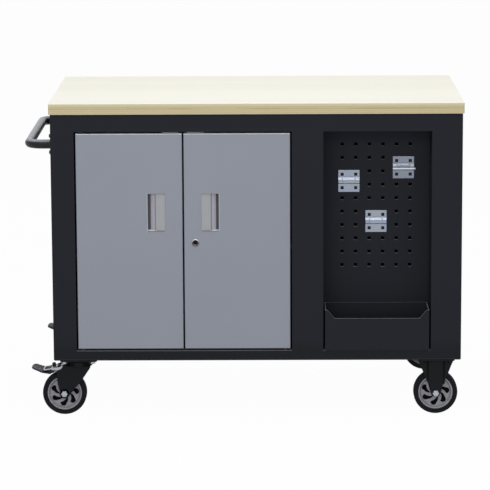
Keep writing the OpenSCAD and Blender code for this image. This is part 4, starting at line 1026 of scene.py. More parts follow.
class CABINET_OT_bin(bpy.types.Operator):
    """Tool bin at the foot of the niche: folded sheet with raised ears and a rolled hem"""

    bl_idname = "cabinet.bin"
    bl_label = "Tool bin"

    def execute(self, context):
        size, (low, high) = sizes(), corners("tool_bin")
        t, flat, run = 1.2 * MM, 7 * MM, 20 * MM
        (x0, y0, z0), (x1, _, ear_z) = low, high
        y1, z1 = PEG_Y, ear_z - size.ear_h
        front = [
            (x0, z0), (x1, z0), (x1, ear_z), (x1 - flat, ear_z), (x1 - flat - run, z1),
            (x0 + flat + run, z1), (x0 + flat, ear_z), (x0, ear_z),
        ]
        shape, steps, inset = Shape(), 5, size.hem_r * 0.85
        outline = round_corners(front, from_mm(4, 4, 3, 3, 5, 5, 3, 3), steps)
        plate(shape, outline, t, 0.4 * MM, (0, y0, 0))
        hem = grown(outline, [-inset])[0][2 * (steps + 1) :]
        tube(shape, points_at(hem[:, 0], y0 + size.hem_r, hem[:, 1]), size.hem_r, FRONT, 12)
        side = round_corners([(y0 + t, z0), (y1, z0), (y1, ear_z), (y0 + t, ear_z)], from_mm(0.5, 0.5, 3, 3), 4)
        for x in (x0, x1 - t):
            plate(shape, side, t, 0.4 * MM, (x, 0, 0), Y, Z, X)
        for x in (x0 + inset, x1 - inset):
            run_y = np.linspace(y0 + 2 * MM, y1 - 2 * MM, 4)
            tube(shape, points_at(x, run_y, ear_z - inset), size.hem_r * 0.8, Z, 12)
        floor = rectangle(x1 - x0, y1 - y0, 0.6 * MM, 2)
        plate(shape, floor, t, 0.3 * MM, ((x0 + x1) / 2, (y0 + y1) / 2, z0), X, Y, Z)
        back = rectangle(x1 - x0, ear_z - z0, 2 * MM, 3)
        plate(shape, back, t, 0.3 * MM, ((x0 + x1) / 2, y1 - t, (z0 + ear_z) / 2))
        piece("folded_bin", shape, finish("bin"), "cabinet", ["tool_bin"])
        return {"FINISHED"}


class CABINET_OT_doors(bpy.types.Operator):
    """Two folded door skins with a cut-out for the pull and one for the lock, and their liners"""

    bl_idname = "cabinet.doors"
    bl_label = "Doors"

    def execute(self, context):
        r, skin_t, lap, lock_half = sizes().door_fold_r, 1.2 * MM, 1 * MM, 6.2 * MM
        for side in ("left", "right"):
            low, high = corners(f"{side}_door_skin")
            pull_low, pull_high = corners(f"{side}_pull")
            cuts = [(pull_low[0] + lap, pull_high[0] - lap, pull_low[2] + lap, pull_high[2] - lap)]
            if side == "right":
                x, z = AXES["lock_turn"][[0, 2]]
                cuts.append((x - lock_half, x + lock_half, z - lock_half, z + lock_half))
            xs = sorted([low[0] + r, high[0] - r] + [v for cut in cuts for v in cut[:2]])
            zs = sorted([low[2] + r, high[2] - r] + [v for cut in cuts for v in cut[2:]])
            shape = cells(Shape(), xs, zs, low[1], [(xs.index(cut[0]), zs.index(cut[2])) for cut in cuts])
            inward, climb = quarter(r, 5)
            profile = sorted([(-i, low[1] + c) for i, c in zip(inward, climb)], key=lambda row: row[1])
            rims(shape, (low[0], high[0], low[2], high[2]), profile + [(0, high[1])])
            rims(shape, cuts[0], [(0, low[1]), (0, low[1] + 3 * MM)])
            skin = [f"{side}_door_skin"]
            piece(f"{side}_door_pan", shape, finish("door"), f"{side}_door", skin, FRONT, skin_t)
            dress(f"{side}_door_liner", finish("door"))
        return {"FINISHED"}


class CABINET_OT_pulls(bpy.types.Operator):
    """Recessed pulls: a deep finger slot, a steep and a wide facet, and a thin raised rim"""

    bl_idname = "cabinet.pulls"
    bl_label = "Recessed pulls"

    def execute(self, context):
        for side, way in (("left", 1), ("right", -1)):
            low, high = corners(f"{side}_pull")
            face = corners(f"{side}_door_skin")[0][1]
            rim, draft, lip = 1.6 * MM, 2.4 * MM, 0.5 * MM
            width, height = high[0] - low[0] - 2 * rim, high[2] - low[2] - 2 * rim
            start = low[0] + rim if way > 0 else high[0] - rim
            line = from_mm((0, -0.5), (0.4, 14.6), (7.6, 14.6), (20.4, 7.8), (width / MM, 1.0))
            section, _ = round_corners(line, from_mm(0, 1.2, 1.2, 1.0, 0), closed=False)
            t, depth = section.T
            a = np.linspace(0, 1, 7)
            wall = np.concatenate([a * draft, height - a[::-1] * draft])
            share = np.sin(a * math.pi / 2) ** 0.7
            share = np.concatenate([share, share[::-1]])[:, None]
            grid = points_at(start + way * t, face + (depth + lip) * share - lip, low[2] + rim + wall[:, None])
            coat, body = finish("pull"), f"{side}_door"
            piece(f"{side}_pull_dish", Shape().grid(grid), coat, body, [f"{side}_pull"], FRONT)
            middle, a = (low + high) / 2, np.linspace(0, math.pi, 9)
            outline = rectangle(width + 2 * rim, height + 2 * rim, 2.2 * MM, 5)
            rings = grown(outline, rim * 0.55 * (np.cos(a) - 1))
            rise = (face - 0.6 * MM * np.sin(a))[:, None]
            grid = points_at(middle[0] + rings[..., 0], rise, middle[2] + rings[..., 1])
            piece(f"{side}_pull_rim", Shape().grid(grid, around=True), coat, body, (), FRONT)
        return {"FINISHED"}


class CABINET_OT_lock(bpy.types.Operator):
    """Lock head: a turned ring with a bevelled edge round the plug"""

    bl_idname = "cabinet.lock"
    bl_label = "Lock"

    def execute(self, context):
        low, high = corners("lock_barrel")
        axis = AXES["lock_turn"]
        r, bore, barrel_r = (high[0] - low[0]) / 2, 6.05 * MM, 8.5 * MM
        face = corners("right_door_skin")[0][1]
        front, back = low[1] - face, high[1] - face
        profile = [
            (bore, back), (barrel_r, back), (barrel_r, 0), (r, 0), (r, front * 0.45), (r - 0.3 * MM, front * 0.7),
            (r - 1.9 * MM, front * 0.98), (r - 2.3 * MM, front), (bore + 0.6 * MM, front), (bore, front * 0.8),
        ]
        shape = lathe(Shape(), profile, (axis[0], face, axis[2]), Y, 48, bore=True)
        piece("lock_head", shape, finish("chrome"), "right_door", ["lock_barrel"], sharp=25)
        dress("lock_plug", finish("plug"))
        for node in ("lock_nut", "lock_cam"):
            dress(node, finish("zinc"))
        return {"FINISHED"}


class CABINET_OT_push_handle(bpy.types.Operator):
    """Push handle: a bent tube welded to two flanges"""

    bl_idname = "cabinet.push_handle"
    bl_label = "Push handle"

    def execute(self, context):
        size, (low, high) = sizes(), corners("push_handle")
        r, w = size.tube_d / 2, size.weld_w
        bar_x, z = low[0] + r, (low[2] + high[2]) / 2
        y0, y1 = low[1] + FLANGE_W / 2, high[1] - FLANGE_W / 2
        face_x = LEFT_X - FLANGE_T
        line, radii = [(face_x, y1), (bar_x, y1), (bar_x, y0), (face_x, y0)], [0, size.bend_r, size.bend_r, 0]
        path = distinct(round_corners(line, radii, 14, closed=False)[0])
        shape = tube(Shape(), points_at(path[:, 0], path[:, 1], z), r, Z, 40)
        flange = rectangle(FLANGE_W, high[2] - low[2], 8 * MM, 6)
        inward, climb = quarter(w, 5)
        inner = r - 1 * MM
        weld = np.concatenate([[(inner, 0)], np.stack([r + climb, -inward], 1), [(inner, -w)]])
        for y in (y0, y1):
            plate(shape, flange, FLANGE_T, 0.7 * MM, (face_x, y, z), Y, Z, X)
            lathe(shape, weld, (face_x, y, z), X, 40)
        piece("bent_push_handle", shape, finish("handle"), "cabinet", ["push_handle"])
        return {"FINISHED"}


class CABINET_OT_side_screws(bpy.types.Operator):
    """Button-head screws with hexagon sockets on the left side"""

    bl_idname = "cabinet.side_screws"
    bl_label = "Side screws"

    def execute(self, context):
        inner_end = corners("side_screws")[1][0]
        low, high = corners("push_handle")
        ys = low[1] + FLANGE_W / 2, high[1] - FLANGE_W / 2
        middle, low_z, seat = (low[2] + high[2]) / 2, BASE_Z + 90 * MM, LEFT_X - FLANGE_T
        places = [(y, middle + way * FLANGE_PITCH / 2, seat) for y in ys for way in (-1, 1)]
        head = from_mm(
            (0, 2.6), (2.0, 2.6), (2.0, 4.4), (2.6, 4.5), (3.8, 4.25), (4.8, 3.6), (5.5, 2.5), (5.9, 1.2), (6.0, 0)
        )
        flats = [0, 1, 1, 0, 0, 0, 0, 0, 0]
        nut = from_mm((4.6, 0), (5.1, 0.6), (5.1, 3.4), (4.6, 4))
        shape = Shape()
        for y, z, seat in places + [(y, low_z, LEFT_X) for y in ys]:
            centre, reach = (seat, y, z), inner_end - seat
            lathe(shape, head, centre, -X, 36, flats)
            lathe(shape, [(3 * MM, -0.5 * MM), (3 * MM, reach - 0.6 * MM), (2.4 * MM, reach)], centre, X, 20)
            lathe(shape, nut + [0, LEFT_X + SHEET - seat], centre, X, 36, [0, 1, 1, 0])
        piece("socket_screws", shape, finish("oxide"), "cabinet", ["side_screws"], sharp=28)
        return {"FINISHED"}


# ------------------------------------------------------------------ casters


def hex_bolt(shape, centre, outer, flats=16 * MM, head=8 * MM, shank=10 * MM):
    """Axle bolt along Y: a hexagon head whose corners are turned off in a cone, and the same as a nut behind.
    outer is the half width that it clamps."""
    r, tip = flats / 2, shank / 2
    for way in (-1, 1):
        rows = [(r * 0.98, 0), (r, 0.5 * MM), (r, head - 1.6 * MM), (r * 0.93, head - 0.2 * MM), (r * 0.86, head)]
        if way > 0:
            rows += [(tip, head), (tip, head + 2.4 * MM), (tip - 0.7 * MM, head + 3 * MM)]
        marks = [0, 1, 1] + [0] * (len(rows) - 3)
        lathe(shape, np.array(rows) * [1, way] + [0, way * outer], centre, Y, 48, marks)
    return lathe(shape, [(tip, -outer), (tip, outer)], centre, Y, 32)


def leg(shape, outline, radii, centre, y, thickness, towards_wheel=1):
    """A flat leg from an outline of (u, z) points, u measured from centre towards the wheel."""
    points = np.asarray(outline, float)
    if towards_wheel > 0:
        points = points * [-1, 1]
    area = (points[:, 0] * np.roll(points[:, 1], -1) - np.roll(points[:, 0], -1) * points[:, 1]).sum()
    if area < 0:
        points, radii = points[::-1], np.asarray(radii)[::-1]
    return plate(shape, round_corners(points, radii, 6), thickness, 0.8 * MM, (centre[0], y, 0))


def caster_plate(shape, centre, bottom):
    """Flat plate with round corners and soft edges."""
    outline = rectangle(105 * MM, 80 * MM, 8 * MM, 6)
    return plate(shape, outline, PLATE_T, 0.6 * MM, (centre[0], centre[1], bottom), X, Y, Z)


class CABINET_OT_swivel_casters(bpy.types.Operator):
    """Swivel casters: top plate with its ball cup, pressed fork with embossed axle seats, axle bolt"""

    bl_idname = "cabinet.swivel_casters"
    bl_label = "Swivel casters"

    def execute(self, context):
        for end in ("front_left", "rear_left"):
            axis, wheel = AXES[f"{end}_swivel_turn"], AXES[f"{end}_wheel_spin"]
            shape = caster_plate(Shape(), axis, BASE_Z - PLATE_T)
            boss_r, foot = 29 * MM, corners(f"{end}_plate")[0][2] - BASE_Z
            boss = [(boss_r - 2 * MM, foot), (boss_r, foot + 0.8 * MM), (boss_r, -PLATE_T)]
            lathe(shape, boss, (axis[0], axis[1], BASE_Z), Z, 48)
            piece(f"{end}_top_plate", shape, finish("fork"), "cabinet", [f"{end}_plate"])
            self.fork(end, axis, wheel)
            bolt = hex_bolt(Shape(), wheel, LEG_GAP / 2 + LEG_T)
            piece(f"{end}_axle_bolt", bolt, finish("zinc"), f"{end}_swivel", [f"{end}_axle"], sharp=28)
        bolts = ("swivel_caster_bolts", -1, "zinc", "zinc"), ("rigid_caster_bolts", 1, "fork", "fork_paint")
        for name, side, look, slot in bolts:
            piece(name, copied("caster_bolts", side), finish(look), "cabinet", ["caster_bolts"], soft=0.5 * MM)
        for node in ("caster_kingpins", "caster_ball_races"):
            dress(node, finish("zinc"))
        return {"FINISHED"}

    @staticmethod
    def fork(end, axis, wheel):
        """Cup turned about the swivel axis, crown between two slanting legs, and a raised disc round the axle."""
        crown, top = BASE_Z - CROWN_DROP, CROWN_DROP - CUP_DROP
        cup_r, cup_t, pin_r = 32.5 * MM, 3 * MM, 6.2 * MM
        shape = Shape()
        cup = [
            (pin_r, 0), (cup_r - 2 * MM, 0), (cup_r, 2 * MM), (cup_r, top - 1 * MM), (cup_r - 1 * MM, top),
            (cup_r - cup_t, top), (cup_r - cup_t, 4 * MM), (pin_r, 4 * MM),
        ]
        lathe(shape, cup, (axis[0], axis[1], crown), Z, 64, bore=True)
        crown_edge = rectangle(69.5 * MM, LEG_GAP + 2 * LEG_T, 3 * MM, 5)
        plate(shape, crown_edge, 4 * MM, 1.2 * MM, (axis[0] - 2.25 * MM, axis[1], crown), X, Y, Z)
        outline = np.concatenate([
            from_mm((0, 4), (0, -2), at=(-cup_r, crown)),
            from_mm((-50, 39), (-36, 23), (-12, -7), (12, 0), (19, 30), (21, 50), at=(TRAIL, wheel[2])),
            from_mm((8, -7), (8, 0), (-2, 4), at=(LEVER_U, crown)),
        ])
        radii = from_mm(1.5, 3, 30, 40, 4, 4, 30, 6, 2, 3, 2)
        for way in (-1, 1):
            y = axis[1] + way * (LEG_GAP / 2 + LEG_T / 2) - LEG_T / 2
            leg(shape, outline, radii, axis, y, LEG_T)
            disc = [(BOSS_R - 0.5 * MM, 0), (BOSS_R, 0.6 * MM), (BOSS_R, LEG_T * 0.8), (BOSS_R - 0.9 * MM, LEG_T)]
            lathe(shape, np.array(disc) * [1, way] + [0, way * LEG_GAP / 2], wheel, Y, 48)
        pin = [(3 * MM, -LEG_GAP / 2), (3 * MM, LEG_GAP / 2)]
        lathe(shape, pin, AXES[f"{end}_brake_press"], Y, 24)
        piece(f"{end}_pressed_fork", shape, finish("fork"), f"{end}_swivel", [f"{end}_fork"])


class CABINET_OT_rigid_casters(bpy.types.Operator):
    """Rigid casters: a black bracket with a wide pressed rib down each leg, and its axle bolt"""

    bl_idname = "cabinet.rigid_casters"
    bl_label = "Rigid casters"

    def execute(self, context):
        bolts = Shape()
        rib_t, rib_w = 4 * MM, 39 * MM
        for end in ("front_right", "rear_right"):
            wheel = AXES[f"{end}_wheel_spin"]
            under, z = BASE_Z - PLATE_T, wheel[2]
            shape = caster_plate(Shape(), wheel, under)
            foot = (9 * MM, z - 11 * MM)
            outline = [(50 * MM, under), (33 * MM, under - 44 * MM), (21 * MM, z + 26 * MM), (BOSS_R, z), foot]
            radii = from_mm(0.5, 30, 30, 6, 8, 8, 6, 30, 30, 0.5)
            wide, narrow = rib_w / 2, rib_w / 2 - 0.5 * MM
            rib = [
                [(wide + 7.5 * MM, under), (wide + 6.5 * MM, z + 47 * MM), (BOSS_R + 2 * MM, z + 6 * MM), foot],
                [(narrow, under), (narrow, z + 30 * MM), (BOSS_R - 1.6 * MM, z), (8 * MM, z - 9.6 * MM)],
            ]
            rib_radii = from_mm(0.5, 14, 6, 8, 8, 6, 14, 0.5)
            for way in (-1, 1):
                inner, outer = way * LEG_GAP / 2, way * (LEG_GAP / 2 + LEG_T)
                leg(shape, mirrored(outline), radii, wheel, wheel[1] + min(inner, outer), LEG_T, 0)
                self.rib(shape, [mirrored(side) for side in rib], rib_radii, wheel, wheel[1] + outer, way, rib_t)
            name = f"{end}_bracket"
            piece(f"{end}_pressed_bracket", shape, finish("fork"), "cabinet", [name])
            hex_bolt(bolts, wheel, LEG_GAP / 2 + LEG_T + rib_t)
        piece("rigid_axle_bolts", bolts, finish("zinc"), "cabinet", ["rigid_axles"], sharp=28)
        return {"FINISHED"}

    @staticmethod
    def rib(shape, outlines, radii, centre, y, way, rise):
        """A pressed rib between the outline of its foot and that of its top: the ring at share s is
        foot * (1 - s) + top * s, and its height follows s with a soft bend at both ends."""
        rounded = [round_corners(outline[::-1], radii[::-1], 6)[0] for outline in outlines]
        share = np.array([0, 0.12, 0.5, 0.88, 0.96, 1.0])
        height = rise * np.array([0, 0.04, 0.5, 0.94, 0.985, 1.0])
        rings = rounded[0] + (rounded[1] - rounded[0]) * share[:, None, None]
        grid = points_at(centre[0] + rings[..., 0], y + way * height[:, None], rings[..., 1])
        shape.grid(grid, around=True, caps=True)


class CABINET_OT_wheels(bpy.types.Operator):
    """Four wheels: a rubber tyre round a nylon rim with seven swept slots"""

    bl_idname = "cabinet.wheels"
    bl_label = "Wheels"

    def execute(self, context):
        for end in ("front_left", "rear_left", "front_right", "rear_right"):
            centre = AXES[f"{end}_wheel_spin"]
            tyre, rim, body = f"{end}_tyre", f"{end}_rim", f"{end}_wheel"
            piece(f"{end}_rubber_tyre", self.tyre(centre), finish("tyre"), body, [tyre], sharp=40)
            piece(f"{end}_slotted_rim", self.rim(centre), finish("rim"), body, [rim], sharp=40)
            web = lathe(Shape(), from_mm((12.8, -1), (41, -1), (41, 1), (12.8, 1)), centre, Y, 64, bore=True)
            piece(f"{end}_wheel_web", web, finish("web"), body, ())
        return {"FINISHED"}

    @staticmethod
    def tyre(centre):
        """A closed profile turned about the axle: crowned tread, round shoulders and a shallow groove in each
        wall."""
        edge, half, outer = sizes().tyre_edge_r, 16 * MM, 62.5 * MM
        a = np.linspace(0, math.pi / 2, 7)
        shoulder = np.stack([outer - edge + edge * np.sin(a), -half + edge - edge * np.cos(a)], 1)
        shoulder[:, 0] -= 0.4 * MM * (1 - np.sin(a))
        tread_y = np.linspace(-half + edge, half - edge, 7)[1:-1]
        tread = np.stack([outer - 0.5 * MM * (tread_y / half) ** 2, tread_y], 1)
        wall = from_mm(
            (49, -13.2), (50, -15.2), (51, -15.9), (53.2, -15.9), (53.8, -15.5), (54.6, -15.5), (55.2, -15.95)
        )
        side = np.concatenate([wall, shoulder])
        return lathe(Shape(), np.concatenate([side, tread, side[::-1] * [1, -1]]), centre, Y, 96, bore=True)

    @staticmethod
    def rim(centre):
        """Spokes between swept teardrop slots: at radius r a slot is w(r) wide to each side of the angle
        -34 degrees * (r - r0) / (r1 - r0), and the spoke fills the rest of its seventh of the circle. A rounded
        cross-section is carried outwards along it. Hub and outer ring are turned."""
        count, start_r, r0, r1, half, narrow = 7, 13.5 * MM, 15 * MM, 32 * MM, 8.5 * MM, 0.8 * MM
        bow = r1 + half * np.sin(np.linspace(0, math.pi / 2, 9))[1:]
        r = np.concatenate([np.linspace(start_r, r1, 14), bow, [42 * MM]])
        t = np.clip((r - r0) / (r1 - r0), 0, None)
        w = np.where(r < r1, narrow + (half - narrow) * t, np.sqrt(np.clip(half**2 - (r - r1) ** 2, 0, None)))
        w = np.where(r < r0, narrow * np.clip((r - start_r) / (1.5 * MM), 0, 1), w)
        middle = np.radians(-34) * np.minimum(t, 1)
        edge, depth = sizes().spoke_edge_r, 4.4 * MM
        share = np.linspace(0, 1, 9)[1:-1]
        shape = Shape()
        sector = 2 * math.pi / count
        start, stop = middle + w / r, middle + sector - w / r
        width = ((stop - start) * r)[:, None]
        inset = np.minimum(edge, width / 3)
        inward, climb = quarter(1.0)
        across = np.concatenate([inset * climb[::-1], inset + (width - 2 * inset) * share, width - inset * climb], 1)
        drop = np.concatenate([edge * inward[::-1], np.zeros(len(share)), edge * inward])
        open_slot = np.clip(w / (1.2 * MM), 0, 1)[:, None]
        crown = 0.9 * MM * np.sin(np.linspace(0, math.pi, across.shape[1]))
        front = -depth + (drop - crown) * open_slot
        across, y = np.concatenate([across, across[:, ::-1]], 1), np.concatenate([front, -front[:, ::-1]], 1)
        r = r[:, None]
        for k in range(count):
            angle = math.pi / 2 + k * sector + start[:, None] + across / r
            grid = points_at(centre[0] + r * np.cos(angle), centre[1] + y, centre[2] + r * np.sin(angle))
            shape.grid(grid, around=True)
        ring = [
            (40.2, -4.2), (41.4, -4.7), (42.6, -6.0), (43.8, -9.5), (44.6, -12.0), (45.6, -13.1), (47.2, -13.4),
            (48.6, -13.1), (49, -12.6),
        ]
        hub = [(5.1, -19), (11.2, -19), (12.4, -18.2), (13, -16), (13.4, -6), (15.4, -4.4)]
        lathe(shape, mirrored(from_mm(*ring), (1, -1)), centre, Y, 96, bore=True)
        return lathe(shape, mirrored(from_mm(*hub), (1, -1)), centre, Y, 64, bore=True)


class CABINET_OT_brakes(bpy.types.Operator):
    """Total-lock brakes: a stamped lever with a window, a knob, and a ribbed pedal"""

    bl_idname = "cabinet.brakes"
    bl_label = "Brakes"

    def execute(self, context):
        for end in ("front_left", "rear_left"):
            self.lever(end)
            self.pedal(end)
        return {"FINISHED"}

    @staticmethod
    def lever(end):
        """The lever's line in (u, z) with soft bends is carried across its width, which grows from that between
        the fork's legs to the pedal's by a smooth step. The cells of the window stay open. A cheek runs outside
        each leg of the fork."""
        pivot, axis = AXES[f"{end}_brake_press"], AXES[f"{end}_swivel_turn"]
        u, z, coat, body = LEVER_U, pivot[2], finish("zinc"), f"{end}_brake"
        bends = from_mm((-19, 13), (-3, 3), (3, 3), (55, -7), at=(u, z))
        path = distinct(round_corners(bends, from_mm(0, 7, 7, 0), 5, closed=False)[0])
        stations = from_mm(66, 67, 68.5, 70, 71.5, 79, 82, 94, 97, 101, 103.5, 106)
        outer = np.stack([stations, z + 3 * MM - 10 / 52 * (stations - u - 3 * MM)], 1)
        path = np.concatenate([path[:-1], outer, path[-1:]])
        along = path[:, :1]
        grow = np.clip((along - 66 * MM) / (5.5 * MM), 0, 1) - np.clip((along - 101 * MM) / (6 * MM), 0, 1)
        half = 14 * MM + 11 * MM * grow**2 * (3 - 2 * grow)
        across = np.array([-1, -0.84, -0.42, 0, 0.42, 0.84, 1])
        shape = Shape().grid(points_at(axis[0] - along, axis[1] + half * across, path[:, 1:]))
        first = len(path) - 1 - len(stations) + 5
        gone, columns = {(row, column) for row in range(first, first + 3) for column in range(1, 5)}, len(across) - 1
        shape.faces = [face for n, face in enumerate(shape.faces) if divmod(n, columns) not in gone]
        lever = [f"{end}_brake_lever"]
        piece(f"{end}_stamped_lever", shape, coat, body, lever, Z, 2.5 * MM, soft=0.6 * MM)
        cheek = [(46, 4.5), (51, -2.5), (61, -6.5), (75, -5.5), (80, -3), (80, -0.9), (60, 3), (54, 3.4), (47.5, 8)]
        radii = from_mm(1.5, 3, 3, 2, 0.8, 0.4, 4, 4, 1.5)
        cheeks = Shape()
        for y in from_mm(-25.4, 23.5):
            leg(cheeks, from_mm(*cheek, at=(0, z)), radii, axis, axis[1] + y, 1.9 * MM)
        piece(f"{end}_lever_cheeks", cheeks, coat, body, ())
        eye = mirrored(from_mm((3.05, -13.4), (5.1, -13.4), (5.5, -13)), (1, -1))
        eye = lathe(Shape(), eye, pivot, Y, 32, bore=True)
        knob = from_mm((4.4, 0), (5, 2.4), (5.4, 5), (5.5, 9), (5.1, 11.2), (4, 12.5), (2.2, 13), (0.01, 13))
        lathe(eye, knob, (axis[0] - u - 15 * MM, axis[1], z - 1 * MM), Z, 32)
        piece(f"{end}_lever_knob", eye, finish("pedal"), body, ())

    @staticmethod
    def pedal(end):
        """A moulded pad: its outline in (u, z) is carried across its width. Near both sides it moves in along its
        normals by the edge's rounding, and its outer end moves in by r - sqrt(r^2 - d^2), d being the way into the
        corner seen from above. Low half-round ribs lie across its top."""
        pivot, axis = AXES[f"{end}_brake_press"], AXES[f"{end}_swivel_turn"]
        reach, tip, z = 136 * MM, 112 * MM, pivot[2] - 7 * MM
        half, corner, edge = 25 * MM, 12 * MM, 1.4 * MM
        outline = np.concatenate([
            from_mm((-42, 4.9), (-42, -5.5), (-35, -7.5), (-30, -10.5), (-6, -6.5), at=(tip, z)),
            from_mm((-4.5, 3), (-1, 6), (-2, 8.8), (-6.5, 10), at=(reach, z)),
            from_mm((-10, 3), (-10, -1.2), at=(tip, z)),
        ])
        outline = round_corners(outline, from_mm(0.5, 1, 4, 3, 4, 1.5, 1.2, 1.2, 2, 1, 0.3))
        inward, climb = quarter(edge)
        middle = np.linspace(0, half - edge, 12)[:-1]
        y = np.concatenate([middle, half - climb])
        inset = np.concatenate([np.zeros(len(middle)), inward])
        y, inset = np.concatenate([-y[::-1], y[1:]]), np.concatenate([inset[::-1], inset[1:]])
        into = np.clip(abs(y) - (half - corner), 0, corner)
        end_cut = (corner - np.sqrt(corner**2 - into**2))[:, None]
        u, height = np.moveaxis(grown(outline, -inset), -1, 0)
        inner_end = tip - 6 * MM
        u = u - end_cut * np.clip((u - inner_end) / (reach - inner_end), 0, 1)
        shape = Shape().grid(points_at(axis[0] - u, axis[1] + y[:, None], height), around=True, caps=True)
        heel = from_mm((-46, 5.6), (-46, -5), (-40, -6), (-40, 4.4), at=(tip, z))
        leg(shape, heel, from_mm(0.5, 1, 0.5, 0.5), axis, axis[1] - 14 * MM, 28 * MM)
        top = np.linspace([tip - 7 * MM, z + 3.9 * MM], [reach - 7.5 * MM, z + 9.8 * MM], sizes().rib_count)
        for at, rib_z in top:
            into = max(0.0, at - (reach - corner))
            reach_y = half - corner - 2.5 * MM + math.sqrt(corner**2 - into**2)
            path = points_at(axis[0] - at, axis[1] + np.array([-1, -0.97, 0.97, 1]) * reach_y, rib_z)
            tube(shape, path, 1.1 * MM, Z, 12)
        pad = [f"{end}_pedal_pad"]
        piece(f"{end}_ribbed_pedal", shape, finish("pedal"), f"{end}_brake", pad, sharp=50)


# ------------------------------------------------------------------ stage


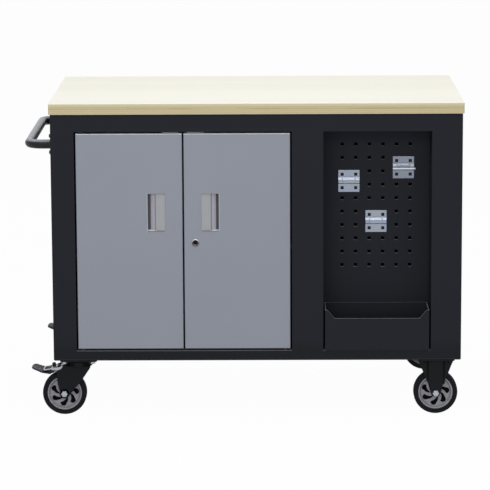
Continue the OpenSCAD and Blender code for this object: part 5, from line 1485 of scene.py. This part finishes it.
class CABINET_OT_stage(bpy.types.Operator):
    """Pale floor, soft light and the camera of the photograph"""

    bl_idname = "cabinet.stage"
    bl_label = "Stage"

    def execute(self, context):
        stage = context.scene.cabinet_stage
        self.floor(stage)
        self.room(context.scene, stage)
        self.softbox("top softbox", (0.1, -0.7, 3.6), (0.03, -0.1, 0.5), (3.4, 3.4), stage.top_power, True)
        self.softbox("front softbox", (-0.5, -5.2, 1.5), (0.0, 0.0, 0.5), (3.2, 3.0), stage.front_power, False)
        self.softbox("front strip", (0.0, -5.0, 2.75), (0.0, 0.0, 0.6), (3.0, 0.8), stage.strip_power, True)
        camera = bpy.data.objects.new("camera", bpy.data.cameras.new("camera"))
        context.scene.collection.objects.link(camera)
        camera.data.sensor_width, camera.data.lens = 36, stage.lens
        camera.data.clip_start, camera.data.clip_end = 0.1, 300
        turn = Quaternion(Z, stage.camera_turn) @ Quaternion(X, math.pi / 2 - stage.camera_tilt)
        camera.rotation_mode = "QUATERNION"
        camera.rotation_quaternion = turn @ Quaternion(Z, stage.camera_roll)
        camera.location = stage.camera_place
        context.scene.camera = camera
        context.scene.view_settings.view_transform = "Standard"
        return {"FINISHED"}

    @staticmethod
    def floor(stage):
        """A wide floor whose colour is near white. Camera rays see part of it as plain white, so that it meets
        the white room and still keeps the object's shadow."""
        half = stage.floor_size / 2
        mesh = bpy.data.meshes.new("floor")
        square = [(-half, -half, 0), (half, -half, 0), (half, half, 0), (-half, half, 0)]
        mesh.from_pydata(square, [], [(0, 1, 2, 3)])
        floor = bpy.data.objects.new("floor", mesh)
        bpy.context.scene.collection.objects.link(floor)
        f = Finish("pale floor", Specular_IOR_Level=0.0, Roughness=0.9)
        f.set(Base_Color=(0.62, 0.62, 0.62))
        rays = f.add("ShaderNodeLightPath")
        seen = f.most(f.most(rays[0], rays[3]), rays[6])
        white = f.add("ShaderNodeEmission", None, {"Color": (1.0, 1.0, 1.0), "Strength": 1.0})[0]
        mixed = f.add("ShaderNodeMixShader", None, {0: 0.975 * seen, 1: Value(f, f.shader.outputs[0]), 2: white})[0]
        output = next(n for n in f.tree.nodes if n.type == "OUTPUT_MATERIAL")
        f.put(output.inputs[0], mixed)
        mesh.materials.append(f.material)

    @staticmethod
    def room(scene, stage):
        """The room is plain white to the camera, to gloss and to glass, and an even light for everything else."""
        world = bpy.data.worlds.new("room")
        world.use_nodes = True
        scene.world = world
        tree = world.node_tree
        background = next(n for n in tree.nodes if n.type == "BACKGROUND")
        path, seen, most = (tree.nodes.new(f"ShaderNode{kind}") for kind in ("LightPath", "Math", "Math"))
        seen.operation = most.operation = "MAXIMUM"
        tree.links.new(path.outputs["Is Camera Ray"], seen.inputs[0])
        tree.links.new(path.outputs["Is Glossy Ray"], seen.inputs[1])
        tree.links.new(seen.outputs[0], most.inputs[0])
        tree.links.new(path.outputs["Is Transmission Ray"], most.inputs[1])
        strength = tree.nodes.new("ShaderNodeMapRange")
        strength.inputs["To Min"].default_value, strength.inputs["To Max"].default_value = stage.sky, 1.0
        tree.links.new(most.outputs[0], strength.inputs["Value"])
        tree.links.new(strength.outputs[0], background.inputs["Strength"])
        background.inputs["Color"].default_value = (1.0, 1.0, 1.0, 1.0)

    @staticmethod
    def softbox(name, place, target, sides, power, shines):
        """An area light that looks at its target. Gloss shows it where it shines."""
        light = bpy.data.lights.new(name, "AREA")
        light.shape, light.energy = "RECTANGLE", power
        light.size, light.size_y = sides
        lamp = bpy.data.objects.new(name, light)
        bpy.context.scene.collection.objects.link(lamp)
        lamp.location, lamp.visible_glossy = place, shines
        lamp.rotation_mode = "QUATERNION"
        lamp.rotation_quaternion = (Vector(target) - Vector(place)).to_track_quat("-Z", "Y")


class VIEW3D_PT_tool_cabinet(bpy.types.Panel):
    """Lists the cabinet's pieces and their sizes and colours"""

    bl_label = "Tool cabinet"
    bl_space_type = "VIEW_3D"
    bl_region_type = "UI"
    bl_category = "Tool cabinet"

    def draw(self, context):
        scene = context.scene
        for operator in OPERATORS:
            self.layout.operator(operator.bl_idname)
        for group in (scene.cabinet_sizes, scene.cabinet_colours, scene.cabinet_stage):
            box = self.layout.box()
            for name in group.__annotations__:
                box.prop(group, name)


OPERATORS = [
    CABINET_OT_stage,
    CABINET_OT_worktop,
    CABINET_OT_front_frame,
    CABINET_OT_body_shell,
    CABINET_OT_pegboard,
    CABINET_OT_hooks,
    CABINET_OT_bin,
    CABINET_OT_doors,
    CABINET_OT_pulls,
    CABINET_OT_lock,
    CABINET_OT_push_handle,
    CABINET_OT_side_screws,
    CABINET_OT_swivel_casters,
    CABINET_OT_rigid_casters,
    CABINET_OT_wheels,
    CABINET_OT_brakes,
]
GROUPS = {"cabinet_sizes": CabinetSizes, "cabinet_colours": CabinetColours, "cabinet_stage": CabinetStage}


def register():
    """Adds the classes and the scene's groups of properties."""
    for cls in [*GROUPS.values(), *OPERATORS, VIEW3D_PT_tool_cabinet]:
        bpy.utils.register_class(cls)
    for name, group in GROUPS.items():
        setattr(bpy.types.Scene, name, PointerProperty(type=group))


def unregister():
    """Takes away what register added."""
    for name in GROUPS:
        delattr(bpy.types.Scene, name)
    for cls in [VIEW3D_PT_tool_cabinet, *reversed(OPERATORS), *GROUPS.values()]:
        bpy.utils.unregister_class(cls)


def main():
    """Builds every piece in order."""
    register()
    for operator in OPERATORS:
        group, name = operator.bl_idname.split(".")
        getattr(getattr(bpy.ops, group), name)()


if __name__ == "__main__":
    main()
